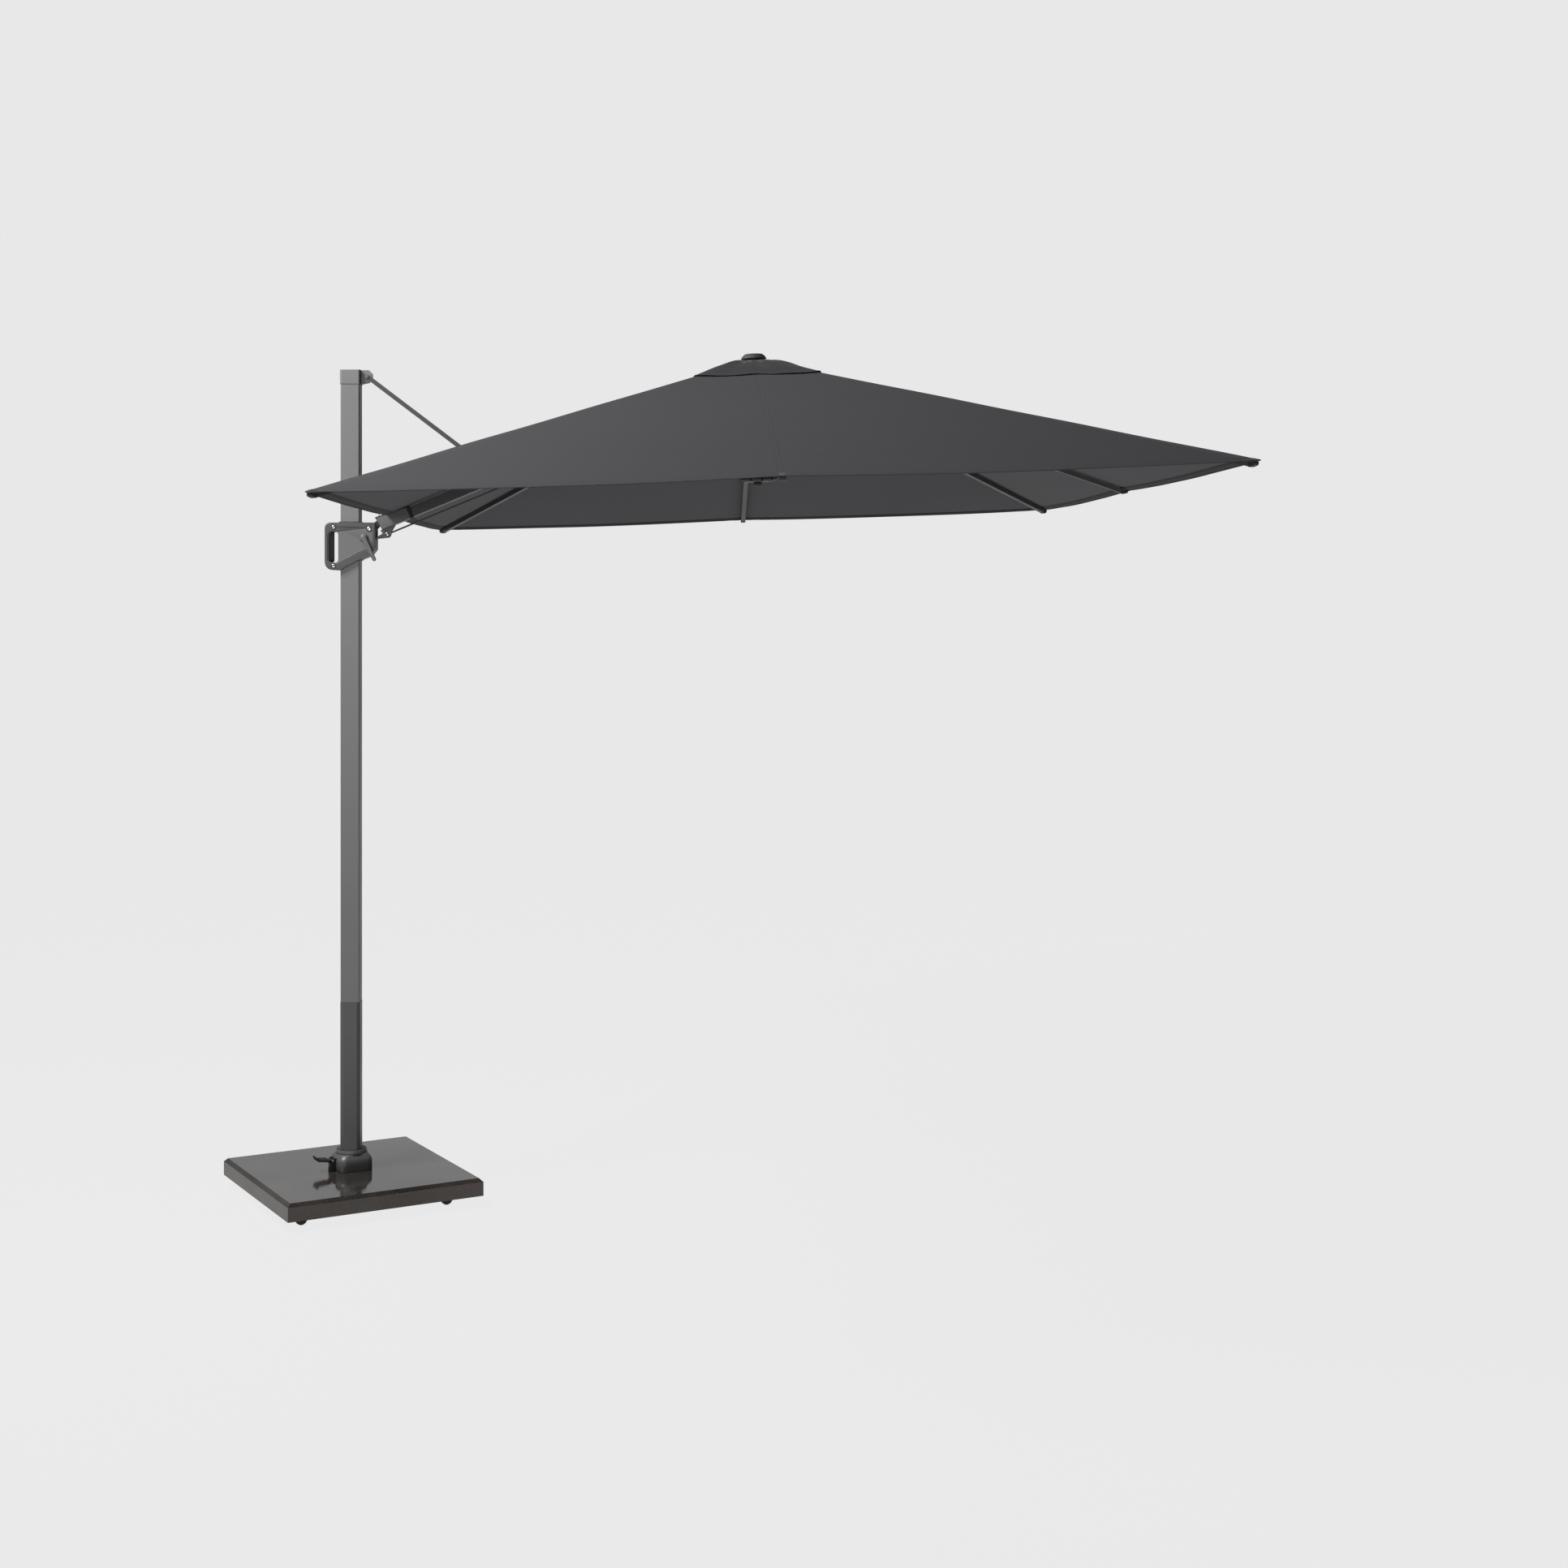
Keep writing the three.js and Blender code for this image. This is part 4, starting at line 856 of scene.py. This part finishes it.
def pocket(tag, foot):
    out = Vector((HALF_U * foot[0], HALF_V * foot[1]))
    reach, d = out.length, out.normalized()
    across = Vector((-d.y, d.x))
    verts, faces = [], []
    for inset, half, drop in ((0.0005, 0.0014, 0.0020), (0.006, 0.0055, 0.0045), (0.014, 0.0100, 0.0080),
                              (0.022, 0.0124, 0.0110), (0.030, 0.0130, 0.0130)):
        c = out - d * inset
        w = PEAK * (inset / reach)
        ring = []
        for k in range(16):
            a = 2 * math.pi * k / 16
            x = math.copysign(abs(math.cos(a)) ** 0.55, math.cos(a)) * half
            z = (math.copysign(abs(math.sin(a)) ** 0.55, math.sin(a)) - 1) * drop / 2 + 0.0006
            ring.append(canopy_point(c.x + across.x * x, c.y + across.y * x, w + z))
        verts += ring
    for i in range(4):
        for j in range(16):
            faces.append((i * 16 + j, i * 16 + (j + 1) % 16, (i + 1) * 16 + (j + 1) % 16, (i + 1) * 16 + j))
    faces.append(tuple(range(15, -1, -1)))
    o = mesh_object("pocket_" + tag, verts, faces)
    for layer in ("hem", "seam"):
        uv = o.data.uv_layers.new(name=layer)
        for loop in o.data.loops:
            uv.data[loop.index].uv = (loop.vertex_index * 0.001, 0.05)
    link(o, "rib_" + tag + "_body", CLOTH)


def rib_cap(tag, foot):
    """The plug in a rib's end: a blunt wedge that rises towards the cloth's corner."""
    reach = math.hypot(HALF_U * foot[0], HALF_V * foot[1])
    az, slope = math.atan2(HALF_V * foot[1], HALF_U * foot[0]), math.atan(PEAK / reach)
    corner = foot[0] and foot[1]
    ease, back = (0.005, 0.014) if corner else (0.0016, 0.008)
    deep, out = 0.008, 0.080
    hinge = PEAK - (0.0022 + ease + deep) / math.cos(slope) - out * math.tan(slope)
    length = (reach - out - back) / math.cos(slope) * 1000
    place = (Matrix.Translation(CANOPY_AT) @ Matrix.Rotation(-CANOPY_TILT, 4, "Y") @ Matrix.Rotation(az, 4,
                                                                                                     "Z")
             @ Matrix.Translation((out, 0, hinge)) @ Matrix.Rotation(slope, 4, "Y"))
    shape = mm([(length - 24, 8.6, 1.5), (length - 24, -9.4, 1.5), (length - 15, -9.4, 6),
                (length - 1, -1.5, 5),
                (length, 4.5, 3), (length - 3, 8.6, 3)])
    o = slab_of("cap_" + tag, [shape], -0.0098, 0.0098, 0.002, "rib_" + tag + "_body", BLACK_PLASTIC, 3,
                place)
    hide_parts("rib_cap_" + tag)
    return o


for tag, foot, body in SUPPORTS:
    if tag != "arm":
        rib_cap(tag, foot)
        pocket(tag, foot)

for node, width in (("upper_mast", 0.0012), ("lower_mast", 0.0010), ("mast_cap", 0.0012), ("arm", 0.0010),
                    ("stay", 0.0006), ("base_slab", 0.0012), ("slide_bush", 0.0006), ("centre_pole", 0.0006)):
    soften(node, width)
for node in NODES:
    if node.startswith(("rib_", "stretcher_")):
        soften(node, 0.0008, 40)
for node in ("top_hub", "runner", "pole_knob", "finial", "level_rod", "stay_top_pin", "bearing_tube",
             "lock_pin",
             "socket_ring"):
    smooth_only(node)

# ---------- stage, light and camera ----------
scene = bpy.context.scene
scene.view_settings.view_transform = "Standard"
BACK = grey(232)


def backdrop():
    m = bpy.data.materials.new("pale_floor")
    m.use_nodes = True
    t = m.node_tree
    out = t.nodes["Material Output"]
    t.nodes.remove(t.nodes["Principled BSDF"])
    e, d, mix = (t.nodes.new("ShaderNode" + k) for k in ("Emission", "BsdfDiffuse", "MixShader"))
    e.inputs["Color"].default_value = (*(x * 1.022 for x in BACK), 1)
    path, dim = t.nodes.new("ShaderNodeLightPath"), t.nodes.new("ShaderNodeMath")
    dim.operation, dim.inputs[1].default_value, dim.inputs[2].default_value = "MULTIPLY_ADD", 0.3, 0.7
    t.links.new(path.outputs["Is Camera Ray"], dim.inputs[0])
    t.links.new(dim.outputs[0], e.inputs["Strength"])
    d.inputs["Color"].default_value = (0.86, 0.86, 0.86, 1)
    mix.inputs[0].default_value = 0.025
    t.links.new(e.outputs[0], mix.inputs[1])
    t.links.new(d.outputs[0], mix.inputs[2])
    t.links.new(mix.outputs[0], out.inputs[0])
    h = 60
    o = mesh_object("floor", [(-h, -h, 0), (h, -h, 0), (h, h, 0), (-h, h, 0)], [(0, 1, 2, 3)])
    bpy.context.scene.collection.objects.link(o)
    o.data.materials.append(m)


def world_light():
    w = bpy.data.worlds.new("studio")
    scene.world = w
    w.use_nodes = True
    t = w.node_tree
    n = t.nodes
    flat, soft, mix = n["Background"], n.new("ShaderNodeBackground"), n.new("ShaderNodeMixShader")
    flat.inputs[0].default_value, flat.inputs[1].default_value = (*BACK, 1), 1.0
    path, co, sep = n.new("ShaderNodeLightPath"), n.new("ShaderNodeTexCoord"), n.new("ShaderNodeSeparateXYZ")
    t.links.new(co.outputs["Generated"], sep.inputs[0])
    side = n.new("ShaderNodeMapRange")
    for i, x in enumerate((0, -0.8, 0.7, 0.26, 0.015)):
        if i:
            side.inputs[i].default_value = x
    t.links.new(sep.outputs[0], side.inputs[0])
    back = n.new("ShaderNodeMapRange")
    for i, x in enumerate((0, 0.74, 0.97, 0.0, 0.42)):
        if i:
            back.inputs[i].default_value = x
    t.links.new(sep.outputs[1], back.inputs[0])
    total = n.new("ShaderNodeMath")
    t.links.new(side.outputs[0], total.inputs[0])
    t.links.new(back.outputs[0], total.inputs[1])
    soft.inputs[0].default_value = (0.95, 0.98, 1.0, 1)
    t.links.new(total.outputs[0], soft.inputs[1])
    t.links.new(path.outputs["Is Camera Ray"], mix.inputs[0])
    t.links.new(soft.outputs[0], mix.inputs[1])
    t.links.new(flat.outputs[0], mix.inputs[2])
    t.links.new(mix.outputs[0], n["World Output"].inputs[0])


def lamp(name, at, to, size, watts):
    l = bpy.data.lights.new(name, "AREA")
    l.shape, l.size, l.energy = "DISK", size, watts
    o = bpy.data.objects.new(name, l)
    o.location = at
    o.rotation_euler = (Vector(to) - Vector(at)).to_track_quat("-Z", "Y").to_euler()
    scene.collection.objects.link(o)


backdrop()
world_light()
lamp("sky", (-3.1, -1.5, 5.0), (-0.6, -0.4, 2.4), 1.5, 300)
lamp("front", (-2.0, -9.0, 2.6), (-0.8, 0, 1.6), 3.0, 95)

cam = bpy.data.cameras.new("camera")
cam.lens, cam.sensor_width, cam.shift_x, cam.shift_y = 51.41, 36, 0.0707, -0.1201
cam.clip_end = 200
eye = bpy.data.objects.new("camera", cam)
eye.location, eye.rotation_euler = (1.1264 + MAST_X, -7.838, 2.101), (math.radians(90), 0, 0)
scene.collection.objects.link(eye)
scene.camera = eye
